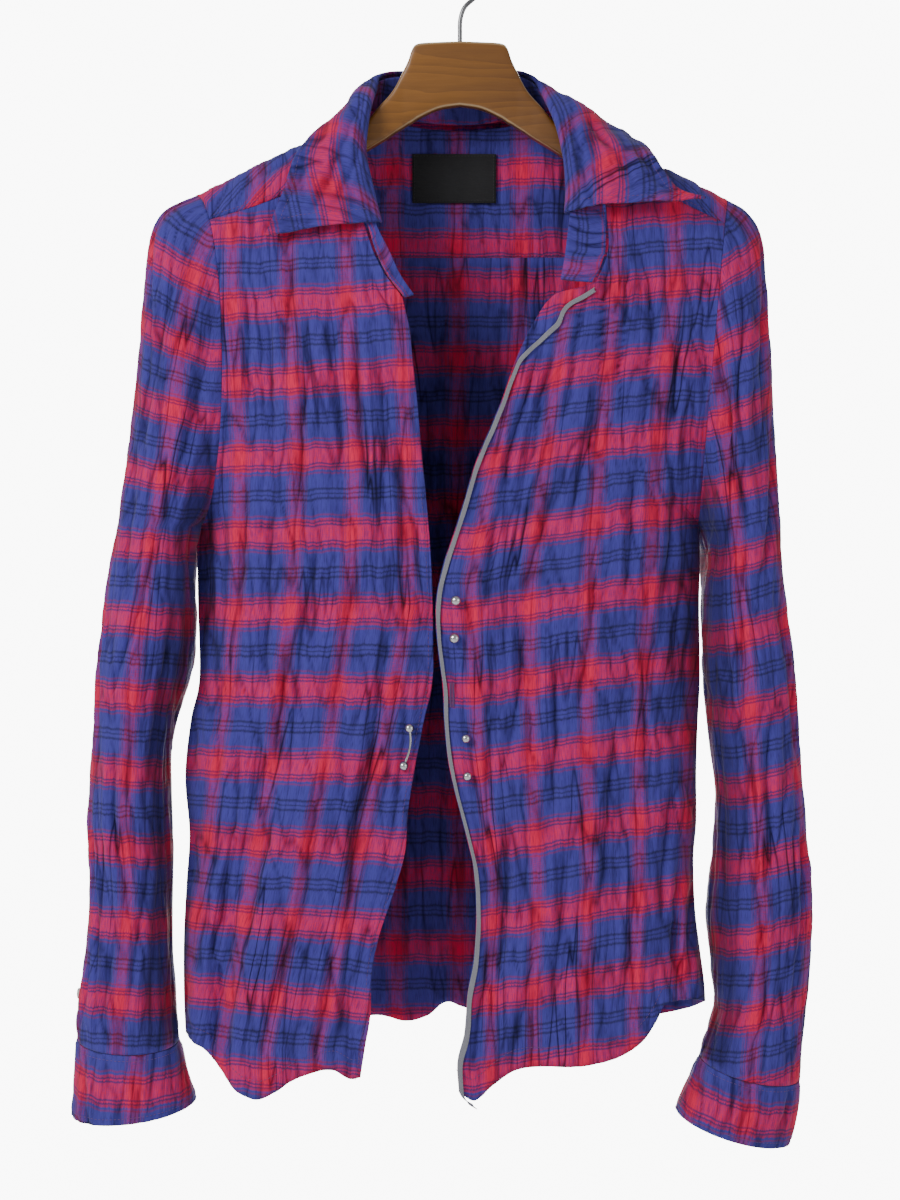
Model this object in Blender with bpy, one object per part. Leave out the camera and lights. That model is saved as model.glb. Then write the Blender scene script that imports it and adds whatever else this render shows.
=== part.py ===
"""A crumpled check shirt, worn open, on a thick wooden hanger.

The frame: +Z up, X to the wearer's left, the fronts face -Y. The origin is the point inside the top of the
hook where the hanger bears on its rail. Every panel is a patch stretched between its seams, given a wall.
Tables are in millimetres; MM turns them into metres when a mesh is made.
"""

from collections import namedtuple
import math

import bpy
import numpy as np

for scene_object in list(bpy.data.objects):
    bpy.data.objects.remove(scene_object)

MM = 0.001
CLOTH = 1.5             # wall of a single layer of brushed cotton, crinkle included
CUFF_CLOTH = 2.2        # two layers and their interlining
COLLAR_CLOTH = 2.2
SEAM_GAP = 0.3
UNDERARM_EASE = 1.0     # more room where sleeve, front and back turn in to one point

ARMHOLE_CELLS = 8       # rows of a body panel beside the armhole
SIDE_CELLS = 12         # rows of a body panel along the side seam
FRONT_CELLS = 10        # columns of a front
NECK_CELLS = 10         # columns of the yoke along the neck
YOKE_CELLS = 6          # rows of the yoke, from the back seam over to the front seam

# The armhole is an oval. Its angle is 0 at the shoulder point and runs down the front to 180 at the underarm.
YOKE_FRONT_ANGLE = math.radians(33)
YOKE_BACK_ANGLE = math.radians(50)
ARMHOLE_HEIGHT, ARMHOLE_DEPTH = 117, 36     # half of each


# ---------------------------------------------------------------- curves and patches

def smooth(rows, places):
    """Points on the smooth curve through the rows, at places counted in rows."""
    rows = np.asarray(rows, float)
    last = len(rows) - 1
    places = np.clip(np.asarray(places, float), 0, last)
    start = np.minimum(places.astype(int), last - 1)
    f = (places - start)[:, None]
    padded = np.vstack([2 * rows[0] - rows[1], rows, 2 * rows[-1] - rows[-2]])
    a, b, c, d = (padded[start + k] for k in range(4))
    return 0.5 * (2 * b + (c - a) * f + (2 * a - 5 * b + 4 * c - d) * f**2 + (3 * b - a - 3 * c + d) * f**3)


def evenly(rows, cells, steps=24):
    """The smooth curve through the rows as cells + 1 points, equally far apart."""
    fine = smooth(rows, np.linspace(0, len(rows) - 1, (len(rows) - 1) * steps + 1))
    length = np.concatenate([[0], np.cumsum(np.linalg.norm(np.diff(fine, axis=0), axis=1))])
    wanted = np.linspace(0, length[-1], cells + 1)
    return np.stack([np.interp(wanted, length, fine[:, k]) for k in range(fine.shape[1])], axis=1)


def joined(*stretches):
    """Stretches of one curve, each starting where the last one ends."""
    return np.vstack([stretches[0]] + [stretch[1:] for stretch in stretches[1:]])


def patch(top, bottom, left, right, hug_left=1, hug_right=1):
    """A grid of points stretched between four edges, row 0 along the top.

    The higher hug_left and hug_right are, the sooner the depth (Y) forgets what the side edges do.
    """
    t = np.linspace(0, 1, len(left))[:, None, None]
    s = np.linspace(0, 1, len(top))[None, :, None]
    from_left = np.concatenate([1 - s, (1 - s) ** hug_left, 1 - s], axis=2)
    from_right = np.concatenate([s, s**hug_right, s], axis=2)
    grid = (1 - t) * top[None] + t * bottom[None]
    grid = grid + from_left * (left[:, None] - (1 - t) * top[0] - t * bottom[0])
    return grid + from_right * (right[:, None] - (1 - t) * top[-1] - t * bottom[-1])


def belly(grid, depths, profile):
    """Pushes the grid out along Y: depths down its rows, profile across its columns."""
    rows, columns = grid.shape[:2]
    down = smooth(np.array(depths, float)[:, None], np.linspace(0, len(depths) - 1, rows))[:, 0]
    grid[:, :, 1] += down[:, None] * profile(np.linspace(0, 1, columns))[None]
    return grid


# ---------------------------------------------------------------- walls

def vertex_normals(grid, ring):
    """Unit normals of a grid; a ring's last column joins its first."""
    if ring:
        across = np.roll(grid, -1, axis=1) - np.roll(grid, 1, axis=1)
    else:
        across = np.gradient(grid, axis=1)
    normals = np.cross(across, np.gradient(grid, axis=0))
    return normals / np.maximum(np.linalg.norm(normals, axis=2, keepdims=True), 1e-9)


class Piece:
    """One sewn piece: the grid of its outer face, its wall and its colour."""

    def __init__(self, name, grid, wall, colour, out=None, ring=False, roughness=0.9):
        self.name, self.grid, self.wall, self.colour = name, np.array(grid), wall, colour
        self.ring, self.roughness = ring, roughness
        self.normals = vertex_normals(self.grid, ring)
        from_middle = self.grid - self.grid.mean(axis=1, keepdims=True)
        facing = from_middle if out is None else np.asarray(out, float)
        if (self.normals * facing).sum() < 0:
            self.normals = -self.normals
            self.turned = True
        else:
            self.turned = False

    def rim(self):
        """Indices of the points on the piece's edges."""
        rows, columns = self.grid.shape[:2]
        edge = np.zeros((rows, columns), bool)
        edge[0] = edge[-1] = True
        if not self.ring:
            edge[:, 0] = edge[:, -1] = True
        return np.argwhere(edge)


def share_seams(pieces):
    """Where pieces meet, gives them one normal, so that their walls end on one plane and don't cross."""
    sums = {}
    for piece in pieces:
        for i, j in piece.rim():
            key = tuple(np.round(piece.grid[i, j], 2))
            sums[key] = sums.get(key, 0) + piece.normals[i, j]
    for piece in pieces:
        for i, j in piece.rim():
            total = sums[tuple(np.round(piece.grid[i, j], 2))]
            size = np.linalg.norm(total)
            piece.normals[i, j] = total / size if size > 0.35 else (0, 0, -1)


def draw_in(piece, top=False, bottom=False, left=False, right=False):
    """Pulls the named edges half a seam gap into the piece."""
    grid = piece.grid
    for wanted, edge, inner in (
        (top, grid[0], grid[1]),
        (bottom, grid[-1], grid[-2]),
        (left, grid[:, 0], grid[:, 1]),
        (right, grid[:, -1], grid[:, -2]),
    ):
        if wanted:
            step = inner - edge
            edge += step / np.linalg.norm(step, axis=1, keepdims=True) * SEAM_GAP / 2


def paint(thing, name, colour, roughness, metallic=0.0):
    material = bpy.data.materials.get(name) or bpy.data.materials.new(name)
    material.use_nodes = True
    shader = material.node_tree.nodes["Principled BSDF"]
    shader.inputs["Base Color"].default_value = (*colour, 1)
    shader.inputs["Roughness"].default_value = roughness
    shader.inputs["Metallic"].default_value = metallic
    thing.data.materials.append(material)


def mesh_object(name, points, faces, flat=False):
    mesh = bpy.data.meshes.new(name)
    mesh.from_pydata([tuple(p) for p in np.asarray(points) * MM], [], faces)
    mesh.update()
    if not flat:
        mesh.shade_smooth()
        mesh.set_sharp_from_angle(angle=math.radians(50))
    thing = bpy.data.objects.new(name, mesh)
    bpy.context.scene.collection.objects.link(thing)
    return thing


def build(piece):
    """The piece as a closed wall: its outer face, the same face moved in, and a strip round each edge."""
    rows, columns = piece.grid.shape[:2]
    outer = piece.grid.reshape(-1, 3)
    inner = (piece.grid - piece.normals * piece.wall).reshape(-1, 3)
    count = rows * columns
    faces = []

    def quad(a, b, c, d):
        faces.append((d, c, b, a) if piece.turned else (a, b, c, d))

    spans = columns if piece.ring else columns - 1
    for i in range(rows - 1):
        for j in range(spans):
            a, b = i * columns + j, i * columns + (j + 1) % columns
            c, d = b + columns, a + columns
            quad(a, b, c, d)
            quad(d + count, c + count, b + count, a + count)
    for j in range(spans):
        for row, first in ((0, True), (rows - 1, False)):
            a, b = row * columns + j, row * columns + (j + 1) % columns
            a, b = (b, a) if first else (a, b)
            quad(a, b, b + count, a + count)
    if not piece.ring:
        for i in range(rows - 1):
            for column, first in ((0, False), (columns - 1, True)):
                a, b = i * columns + column, (i + 1) * columns + column
                a, b = (b, a) if first else (a, b)
                quad(a, b, b + count, a + count)
    thing = mesh_object(piece.name, np.vstack([outer, inner]), faces)
    paint(thing, piece.name, piece.colour, piece.roughness)
    return thing


# ---------------------------------------------------------------- sizes: sleeves and armholes

# A ring round a sleeve: its outer point (x, z), its inner point (x, z), half its depth, where its middle lies in Y,
# and how far its front and its back lean towards the body. Row 0 is the armhole.
Ring = namedtuple("Ring", "outer_x outer_z inner_x inner_z depth middle front_lean back_lean")

SLEEVE_RIGHT = [
    Ring(-187, -180, -186, -414, 33, 0, 21, 20),
    Ring(-207, -190, -188, -425, 38, 0, 17, 17),
    Ring(-217, -206, -189, -437, 42, 0, 13, 13),
    Ring(-222, -236, -189, -451, 44, 0, 9, 9),
    Ring(-227, -288, -189, -471, 44, 0, 5, 5),
    Ring(-233, -344, -189, -493, 43, 0, 2, 2),
    Ring(-241, -404, -193, -517, 42, -1, 0, 0),
    Ring(-250, -464, -199, -541, 41, -2, 0, 0),
    Ring(-257, -520, -203, -569, 40, -3, 0, 0),
    Ring(-259, -571, -203, -603, 39, -4, 0, 0),
    Ring(-262, -622, -202, -642, 38, -4, 0, 0),
    Ring(-260, -672, -203, -684, 37, -4, 0, 0),
    Ring(-264, -718, -202, -724, 36, -3, 0, 0),
    Ring(-269, -753, -200, -755, 35, -2, 0, 0),
    Ring(-270, -773, -198, -775, 34, -2, 0, 0),
]
SLEEVE_LEFT = [
    Ring(189, -183, 169, -413, 33, 0, 3, 20),
    Ring(204, -193, 172, -425, 38, 0, 4, 17),
    Ring(213, -211, 174, -437, 42, 0, 5, 13),
    Ring(216, -240, 174, -451, 44, 0, 5, 9),
    Ring(219, -288, 174, -471, 44, 0, 4, 5),
    Ring(222, -344, 174, -493, 43, 0, 2, 2),
    Ring(226, -404, 174, -517, 42, -1, 0, 0),
    Ring(230, -464, 174, -541, 41, -2, 0, 0),
    Ring(237, -520, 176, -569, 40, -3, 0, 0),
    Ring(239, -571, 180, -603, 39, -4, 0, 0),
    Ring(244, -626, 178, -642, 38, -4, 0, 0),
    Ring(248, -678, 174, -684, 37, -4, 0, 0),
    Ring(246, -723, 177, -724, 36, -3, 0, 0),
    Ring(242, -762, 179, -753, 35, -2, 0, 0),
    Ring(240, -801, 169, -786, 34, -2, 0, 0),
]
CUFF_RIGHT = [
    Ring(-270, -773, -198, -775, 34, -2, 0, 0),
    Ring(-272, -800, -192, -797, 35, -2, 0, 0),
    Ring(-274, -827, -186, -817, 36, -2, 0, 0),
]
CUFF_LEFT = [
    Ring(240, -801, 169, -786, 34, -2, 0, 0),
    Ring(238, -824, 160, -806, 35, -2, 0, 0),
    Ring(233, -846, 152, -824, 36, -2, 0, 0),
]
CUFF_DIP = 8            # the front of a cuff and of its seam hangs this much lower
SLEEVE_CELLS = 16


def spread(start, stop, cells):
    """Angles from start to stop, about equally far apart along an armhole, which is much taller than deep."""
    fine = np.linspace(start, stop, 200)
    middle = (fine[1:] + fine[:-1]) / 2
    steps = np.hypot(ARMHOLE_HEIGHT * np.sin(middle), ARMHOLE_DEPTH * np.cos(middle))
    length = np.concatenate([[0], np.cumsum(steps)])
    return np.interp(np.linspace(0, length[-1], cells + 1), length, fine)


def ring_angles():
    """Angles round a sleeve, so that its first ring has the points of the yoke, the front and the back."""
    over = np.linspace(-YOKE_BACK_ANGLE, YOKE_FRONT_ANGLE, YOKE_CELLS + 1)
    front = spread(YOKE_FRONT_ANGLE, math.pi, ARMHOLE_CELLS)
    back = spread(math.pi, 2 * math.pi - YOKE_BACK_ANGLE, ARMHOLE_CELLS)
    return np.concatenate([over, front[1:], back[1:-1]])


def ring_points(ring, angles, dip=0.0):
    """Points round one ring. The body is on the +X side of the right sleeve and on the -X side of the left one."""
    side = 1 if ring[0] < 0 else -1
    outer_x, outer_z, inner_x, inner_z, depth, middle, front_lean, back_lean = ring
    cos, sin = np.cos(angles), np.sin(angles)
    lean = np.where(sin > 0, front_lean, back_lean) * np.abs(sin)
    x = (outer_x + inner_x) / 2 + (outer_x - inner_x) / 2 * cos + side * lean
    z = (outer_z + inner_z) / 2 + (outer_z - inner_z) / 2 * cos - dip * np.clip(sin, 0, 1)
    return np.stack([x, middle - depth * sin, z], axis=1)


def sleeve_grid(rings, cells, angles, first_dip, last_dip):
    """Rings at even places down the table."""
    places = np.linspace(0, len(rings) - 1, cells + 1)
    rows = smooth(rings, places)
    dips = first_dip + (last_dip - first_dip) * (places / places[-1]) ** 3
    return np.array([ring_points(row, angles, dip) for row, dip in zip(rows, dips)])


# ---------------------------------------------------------------- sizes: yoke and neck

# Across the yoke from the right armhole to the left one: its back seam (x, y), its crest over the hanger (x, y, z)
# and its last edge (x, y, z), the front seam on the shoulders and the neck seam between them.
Yoke = namedtuple("Yoke", "back_x back_y crest_x crest_y crest_z edge_x edge_y edge_z")
YOKE_BACK_Z = -221
YOKE_NECK = [
    Yoke(-84, 37, -87, 2, -134, -77, -20, -150),
    Yoke(-72, 38, -77, 2, -128, -76, -14, -138),
    Yoke(-64, 39, -71, 1, -124, -71, 1, -124),
    Yoke(-56, 39, -66, 12, -122, -66, 12, -122),
    Yoke(-44, 40, -53, 24, -123, -53, 24, -123),
    Yoke(-26, 41, -31, 32, -127, -31, 32, -127),
    Yoke(0, 41, 0, 36, -129, 0, 36, -129),
    Yoke(26, 41, 31, 32, -127, 31, 32, -127),
    Yoke(44, 40, 53, 24, -123, 53, 24, -123),
    Yoke(56, 39, 66, 12, -122, 66, 12, -122),
    Yoke(66, 39, 75, 1, -125, 75, 1, -125),
    Yoke(78, 38, 84, 2, -131, 85, -15, -140),
    Yoke(92, 37, 95, 2, -137, 92, -22, -153),
]
YOKE_SHOULDER_RIGHT = [
    Yoke(-138, 31, -153, 2, -163, -140, -25, -189),
    Yoke(-104, 35, -115, 2, -145, -106, -26, -174),
]
YOKE_SHOULDER_LEFT = [
    Yoke(112, 35, 122, 2, -149, 120, -26, -174),
    Yoke(145, 31, 156, 2, -165, 153, -25, -187),
]


def yoke_end(ring):
    """The yoke's row at an armhole, on the sleeve's first ring."""
    back, crest, edge = ring_points(ring, np.array([-YOKE_BACK_ANGLE, 0, YOKE_FRONT_ANGLE]))
    return Yoke(back[0], back[1], *crest, *edge)


def yoke_section(row, cells):
    """From the back seam, up a quarter of an oval to the crest and down another to the last edge."""
    row = Yoke(*row)
    turn = np.linspace(0, math.pi / 2, 25)[:, None]
    back = np.array([row.back_x, row.back_y, YOKE_BACK_Z])
    crest = np.array([row.crest_x, row.crest_y, row.crest_z])
    edge = np.array([row.edge_x, row.edge_y, row.edge_z])
    sweep = np.hstack([np.sin(turn), np.sin(turn), 1 - np.cos(turn)])
    rise = (crest + (back - crest) * sweep)[::-1]
    fall = crest + (edge - crest) * sweep
    line = joined(rise, fall) if np.linalg.norm(edge - crest) > 1 else rise
    length = np.concatenate([[0], np.cumsum(np.linalg.norm(np.diff(line, axis=0), axis=1))])
    wanted = np.linspace(0, length[-1], cells + 1)
    return np.stack([np.interp(wanted, length, line[:, k]) for k in range(3)], axis=1)


def yoke_grid(shoulder_cells, neck_cells, cells):
    """Columns from the right armhole to the left one, rows from the back seam to the last edge."""
    angles = np.linspace(-YOKE_BACK_ANGLE, YOKE_FRONT_ANGLE, cells + 1)
    rows = [yoke_end(SLEEVE_RIGHT[0])] + YOKE_SHOULDER_RIGHT + YOKE_NECK + YOKE_SHOULDER_LEFT
    rows.append(yoke_end(SLEEVE_LEFT[0]))
    corner = len(YOKE_SHOULDER_RIGHT) + 1
    far = corner + len(YOKE_NECK) - 1
    places = joined(
        np.linspace(0, corner, shoulder_cells + 1)[:, None],
        np.linspace(corner, far, neck_cells + 1)[:, None],
        np.linspace(far, len(rows) - 1, shoulder_cells + 1)[:, None],
    )[:, 0]
    grid = np.array([yoke_section(row, cells) for row in smooth(rows, places)]).transpose(1, 0, 2)
    grid[:, 0] = ring_points(SLEEVE_RIGHT[0], angles)
    grid[:, -1] = ring_points(SLEEVE_LEFT[0], angles)
    return grid


# ---------------------------------------------------------------- sizes: fronts and back

Point = namedtuple("Point", "x y z")

NECK_EDGE_RIGHT = [
    Point(-77, -20, -150), Point(-76, -26, -167), Point(-72, -31, -187), Point(-66, -36, -206),
    Point(-60, -39, -224), Point(-52, -43, -240), Point(-40, -47, -256),
]
NECK_EDGE_LEFT = [
    Point(92, -22, -153), Point(97, -28, -171), Point(101, -33, -190), Point(103, -38, -208),
    Point(103, -41, -221), Point(100, -43, -233), Point(94, -45, -246),
]
FREE_EDGE_RIGHT = [
    Point(-40, -47, -256), Point(-35, -48, -277), Point(-33, -49, -297), Point(-30, -50, -324),
    Point(-26, -50, -368), Point(-21, -49, -425), Point(-19, -49, -470), Point(-19, -49, -521),
    Point(-25, -49, -549), Point(-31, -49, -580), Point(-36, -49, -612), Point(-38, -49, -640),
    Point(-46, -49, -668), Point(-56, -49, -698), Point(-61, -48, -724), Point(-62, -47, -752),
    Point(-66, -46, -777), Point(-69, -46, -796),
]
FREE_EDGE_LEFT = [
    Point(94, -45, -246), Point(80, -47, -250), Point(66, -48, -254), Point(56, -49, -265),
    Point(44, -50, -287), Point(36, -50, -306), Point(29, -51, -327), Point(20, -51, -348),
    Point(10, -52, -372), Point(3, -52, -396), Point(-4, -53, -418), Point(-11, -53, -439),
    Point(-16, -53, -460), Point(-17, -53, -480), Point(-15, -53, -503), Point(-12, -53, -526),
    Point(-11, -52, -552), Point(-7, -52, -584), Point(3, -51, -624), Point(9, -50, -650),
    Point(11, -49, -680), Point(10, -48, -708), Point(5, -47, -738), Point(3, -46, -764),
    Point(-2, -46, -785), Point(-1, -46, -806),
]
SIDE_RIGHT = [
    Point(-186, 0, -414), Point(-184, 0, -440), Point(-183, 0, -470), Point(-184, 0, -521),
    Point(-190, 0, -550), Point(-194, 0, -590), Point(-191, 0, -630), Point(-193, 0, -664),
    Point(-195, 0, -704), Point(-195, 0, -742), Point(-194, 0, -768),
]
SIDE_LEFT = [
    Point(169, 0, -413), Point(168, 0, -440), Point(167, 0, -470), Point(169, 0, -521),
    Point(168, 0, -552), Point(167, 0, -586), Point(167, 0, -622), Point(165, 0, -647),
    Point(166, 0, -682), Point(169, 0, -708), Point(172, -4, -732), Point(173, -6, -748),
]
HEM_RIGHT = [
    Point(-194, 0, -768), Point(-187, -22, -774), Point(-177, -34, -779), Point(-166, -40, -791),
    Point(-157, -44, -804), Point(-142, -47, -811), Point(-128, -48, -806), Point(-116, -48, -798),
    Point(-100, -48, -792), Point(-88, -47, -791), Point(-77, -46, -797), Point(-69, -46, -796),
]
HEM_LEFT = [
    Point(173, -6, -748), Point(167, -24, -745), Point(158, -34, -743), Point(148, -40, -744),
    Point(141, -42, -747), Point(134, -44, -761), Point(123, -46, -774), Point(106, -48, -783),
    Point(82, -49, -788), Point(56, -49, -788), Point(38, -48, -791), Point(22, -47, -802),
    Point(10, -46, -812), Point(-1, -46, -806),
]
HEM_BACK = [
    Point(-194, 0, -768), Point(-184, 26, -770), Point(-150, 38, -774), Point(-100, 45, -770),
    Point(-61, 47, -765), Point(-40, 47, -769), Point(-23, 46, -765), Point(-10, 44, -755),
    Point(4, 45, -759), Point(40, 46, -767), Point(90, 44, -769), Point(135, 38, -764),
    Point(162, 24, -757), Point(173, -6, -748),
]
FRONT_BELLY = [0, -4, -5, -4, -2, 0]
BACK_BELLY = [0, 2, 3, 2, 0, 0]
SIDE_HUG = 6            # the panels round off into their side seams over about a fifth of their width


def front_grid(ring, side, hem, neck_edge, free_edge, yoke_edge, cells):
    """A front between the yoke seam, the armhole and side seam, the hem, and its neck and free edge."""
    armhole_cells, side_cells, neck_rows, columns = cells
    armhole = ring_points(ring, spread(YOKE_FRONT_ANGLE, math.pi, armhole_cells))
    left = joined(armhole, evenly(side, side_cells))
    right = joined(
        evenly(neck_edge, neck_rows), evenly(free_edge, armhole_cells + side_cells - neck_rows)
    )
    grid = patch(yoke_edge, evenly(hem, columns), left, right, hug_left=SIDE_HUG)
    return belly(grid, FRONT_BELLY, lambda s: 4 * s * (1 - s))


def back_grid(yoke_seam, armhole_cells, side_cells):
    """The back between the yoke seam, both armholes and side seams, and the hem."""
    angles = spread(math.pi, 2 * math.pi - YOKE_BACK_ANGLE, armhole_cells)[::-1]
    left = joined(ring_points(SLEEVE_RIGHT[0], angles), evenly(SIDE_RIGHT, side_cells))
    right = joined(ring_points(SLEEVE_LEFT[0], angles), evenly(SIDE_LEFT, side_cells))
    grid = patch(yoke_seam, evenly(HEM_BACK, len(yoke_seam) - 1), left, right, SIDE_HUG, SIDE_HUG)
    return belly(grid, BACK_BELLY, lambda s: np.sqrt(1 - np.abs(2 * s - 1) ** 2.5))


# ---------------------------------------------------------------- sizes: folds

# The largest folds and the centre pleat: troughs pressed into a panel along a line from its top to its foot.
Fold = namedtuple("Fold", "top_x top_z foot_x foot_z half_width depth")
FOLDS_FRONT_RIGHT = [
    Fold(-137, -575, -135, -612, 8, 6),
    Fold(-146, -632, -166, -722, 11, 11),
    Fold(-166, -722, -168, -775, 10, 13),
    Fold(-98, -470, -122, -590, 10, 4),
    Fold(-50, -520, -70, -680, 10, 4),
    Fold(-140, -260, -132, -420, 12, 4),
    Fold(-84, -250, -80, -420, 12, 4),
]
FOLDS_FRONT_LEFT = [
    Fold(60, -300, 30, -420, 10, 4),
    Fold(110, -260, 96, -430, 12, 4),
    Fold(40, -470, 62, -640, 10, 4),
    Fold(120, -520, 108, -690, 11, 4),
    Fold(150, -690, 156, -738, 9, 6),
    Fold(30, -640, 22, -770, 10, 4),
]
FOLDS_BACK = [
    Fold(-6, -221, -8, -620, 7, 5),
    Fold(-110, -300, -96, -520, 13, 4),
    Fold(90, -320, 104, -560, 13, 4),
    Fold(-60, -560, -76, -740, 12, 5),
    Fold(50, -540, 66, -740, 12, 5),
    Fold(-150, -460, -158, -680, 12, 5),
    Fold(138, -470, 146, -690, 12, 5),
]


def press(grid, folds, away, fade):
    """Moves the grid's points in along Y beside each fold's line; fade keeps the seams where they are."""
    for fold in folds:
        top, foot = np.array([fold.top_x, fold.top_z]), np.array([fold.foot_x, fold.foot_z])
        run = foot - top
        spot = grid[:, :, [0, 2]] - top
        along = (spot @ run) / (run @ run)
        across = np.abs(spot[:, :, 0] * run[1] - spot[:, :, 1] * run[0]) / np.linalg.norm(run)
        ends = np.clip(np.minimum(along, 1 - along) * 5 + 0.6, 0, 1)
        grid[:, :, 1] += away * fold.depth * np.exp(-((across / fold.half_width) ** 2)) * ends * fade
    return grid


def seam_fade(rows, columns, both_sides):
    """0 at the top seam and the side seams, 1 inside the panel and along its free edges."""
    down = np.clip(np.linspace(0, 1, rows) * 8, 0, 1)[:, None]
    s = np.linspace(0, 1, columns)[None]
    across = np.clip(np.minimum(s, 1 - s) * 8, 0, 1) if both_sides else np.clip(s * 6, 0, 1)
    return down * across


# ---------------------------------------------------------------- sizes: collar

# Round the collar from its right front end to its left: the neck seam, the fold where the leaf turns over, and
# the leaf's outer edge. The stand alone goes on past the leaf at both ends.
Collar = namedtuple("Collar", "neck_x neck_y neck_z fold_x fold_y fold_z edge_x edge_y edge_z")
STAND_END_RIGHT = [
    Collar(-40, -49, -256, -28, -44, -253, 0, 0, 0),
    Collar(-52, -45, -240, -37, -41, -240, 0, 0, 0),
    Collar(-60, -41, -224, -45, -38, -222, 0, 0, 0),
]
STAND_END_LEFT = [
    Collar(103, -43, -221, 70, -41, -212, 0, 0, 0),
    Collar(100, -45, -233, 68, -43, -227, 0, 0, 0),
    Collar(94, -47, -246, 65, -45, -243, 0, 0, 0),
]
COLLAR = [
    Collar(-66, -38, -206, -54, -36, -203, -136, -42, -212),
    Collar(-72, -33, -187, -60, -31, -178, -124, -37, -184),
    Collar(-76, -28, -167, -65, -26, -154, -119, -32, -166),
    Collar(-77, -22, -150, -64, -21, -134, -112, -23, -151),
    Collar(-76, -16, -137, -61, -15, -116, -104, -9, -139),
    Collar(-71, 1, -122, -58, 2, -102, -99, 8, -135),
    Collar(-66, 12, -120, -56, 13, -93, -91, 28, -141),
    Collar(-53, 24, -121, -46, 24, -88, -66, 46, -144),
    Collar(-31, 32, -125, -28, 31, -87, -34, 52, -145),
    Collar(0, 36, -127, 0, 34, -86, 0, 53, -145),
    Collar(31, 32, -125, 26, 31, -87, 42, 52, -145),
    Collar(53, 24, -121, 42, 24, -88, 80, 44, -144),
    Collar(66, 12, -120, 52, 14, -96, 108, 26, -141),
    Collar(75, 1, -123, 58, 3, -109, 122, 4, -139),
    Collar(85, -17, -139, 65, -15, -128, 131, -14, -146),
    Collar(92, -24, -152, 69, -22, -143, 136, -28, -155),
    Collar(97, -30, -171, 72, -29, -161, 142, -37, -167),
    Collar(101, -35, -190, 73, -34, -180, 152, -44, -180),
    Collar(103, -40, -208, 72, -39, -197, 170, -47, -187),
]
STAND_LIFT = 2.2        # the stand starts this far up from the neck seam, on its turned-in edge
STAND_DROP = 4.5        # and stops this far under the fold, inside the leaf's roll
ROLL = 7.0              # the leaf stands this far off the straight line from its fold to its edge
LEAF_PLACES = (0, 0.05, 0.14, 0.3, 0.5, 0.75, 1)   # rows of the leaf, as shares of its width


def collar_rows(rows, cells):
    return smooth(rows, np.linspace(0, len(rows) - 1, cells + 1))


def stand_grid(cells, steps):
    """From just over the neck seam up to just under the fold."""
    rows = collar_rows(STAND_END_RIGHT + COLLAR + STAND_END_LEFT, cells)
    neck, fold = rows[:, 0:3], rows[:, 3:6]
    rise = fold - neck
    height = np.linalg.norm(rise, axis=1, keepdims=True)
    start, stop = STAND_LIFT / height, 1 - STAND_DROP / height
    return np.array([neck + rise * (start + (stop - start) * k / steps) for k in range(steps + 1)])


def leaf_grid(cells, places):
    """From the fold, over its roll, out and down to the leaf's edge."""
    rows = collar_rows(COLLAR, cells)
    fold, edge = rows[:, 3:6], rows[:, 6:9]
    fall = edge - fold
    lift = np.cross(np.gradient(fold, axis=0), fall)
    lift /= np.linalg.norm(lift, axis=1, keepdims=True)
    lift *= np.sign(lift[len(lift) // 2, 1])
    return np.array([
        fold + fall * place + lift * ROLL * abs(math.sin(math.pi * place**0.6)) ** 0.8 for place in places
    ])


# ---------------------------------------------------------------- the cloth

RED, VIOLET, BLUE = (0.50, 0.05, 0.08), (0.24, 0.06, 0.16), (0.06, 0.06, 0.24)

yoke = Piece("yoke", yoke_grid(FRONT_CELLS, NECK_CELLS, YOKE_CELLS), CLOTH, VIOLET, out=(0, 0.3, 1))
NECK_ROWS = 5
front_cells = (ARMHOLE_CELLS, SIDE_CELLS, NECK_ROWS, FRONT_CELLS)
rows = ARMHOLE_CELLS + SIDE_CELLS + 1

right = front_grid(
    SLEEVE_RIGHT[0], SIDE_RIGHT, HEM_RIGHT, NECK_EDGE_RIGHT, FREE_EDGE_RIGHT,
    yoke.grid[-1, : FRONT_CELLS + 1], front_cells,
)
press(right, FOLDS_FRONT_RIGHT, 1, seam_fade(rows, FRONT_CELLS + 1, False))
front_right = Piece("front_right", right, CLOTH, RED, out=(0, -1, 0))

left = front_grid(
    SLEEVE_LEFT[0], SIDE_LEFT, HEM_LEFT, NECK_EDGE_LEFT, FREE_EDGE_LEFT,
    yoke.grid[-1, ::-1][: FRONT_CELLS + 1], front_cells,
)
press(left, FOLDS_FRONT_LEFT, 1, seam_fade(rows, FRONT_CELLS + 1, False))
front_left = Piece("front_left", left, CLOTH, RED, out=(0, -1, 0))

behind = back_grid(yoke.grid[0], ARMHOLE_CELLS, SIDE_CELLS)
press(behind, FOLDS_BACK, -1, seam_fade(rows, behind.shape[1], True))
back = Piece("back", behind, CLOTH, VIOLET, out=(0, 1, 0))

angles = ring_angles()
sleeve_right = Piece(
    "sleeve_right", sleeve_grid(SLEEVE_RIGHT, SLEEVE_CELLS, angles, 0, CUFF_DIP), CLOTH, BLUE, ring=True
)
sleeve_left = Piece(
    "sleeve_left", sleeve_grid(SLEEVE_LEFT, SLEEVE_CELLS, angles, 0, CUFF_DIP), CLOTH, BLUE, ring=True
)
cuff_right = Piece("cuff_right", sleeve_grid(CUFF_RIGHT, 3, angles, CUFF_DIP, CUFF_DIP), CUFF_CLOTH, RED, ring=True)
cuff_left = Piece("cuff_left", sleeve_grid(CUFF_LEFT, 3, angles, CUFF_DIP, CUFF_DIP), CUFF_CLOTH, RED, ring=True)

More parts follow.
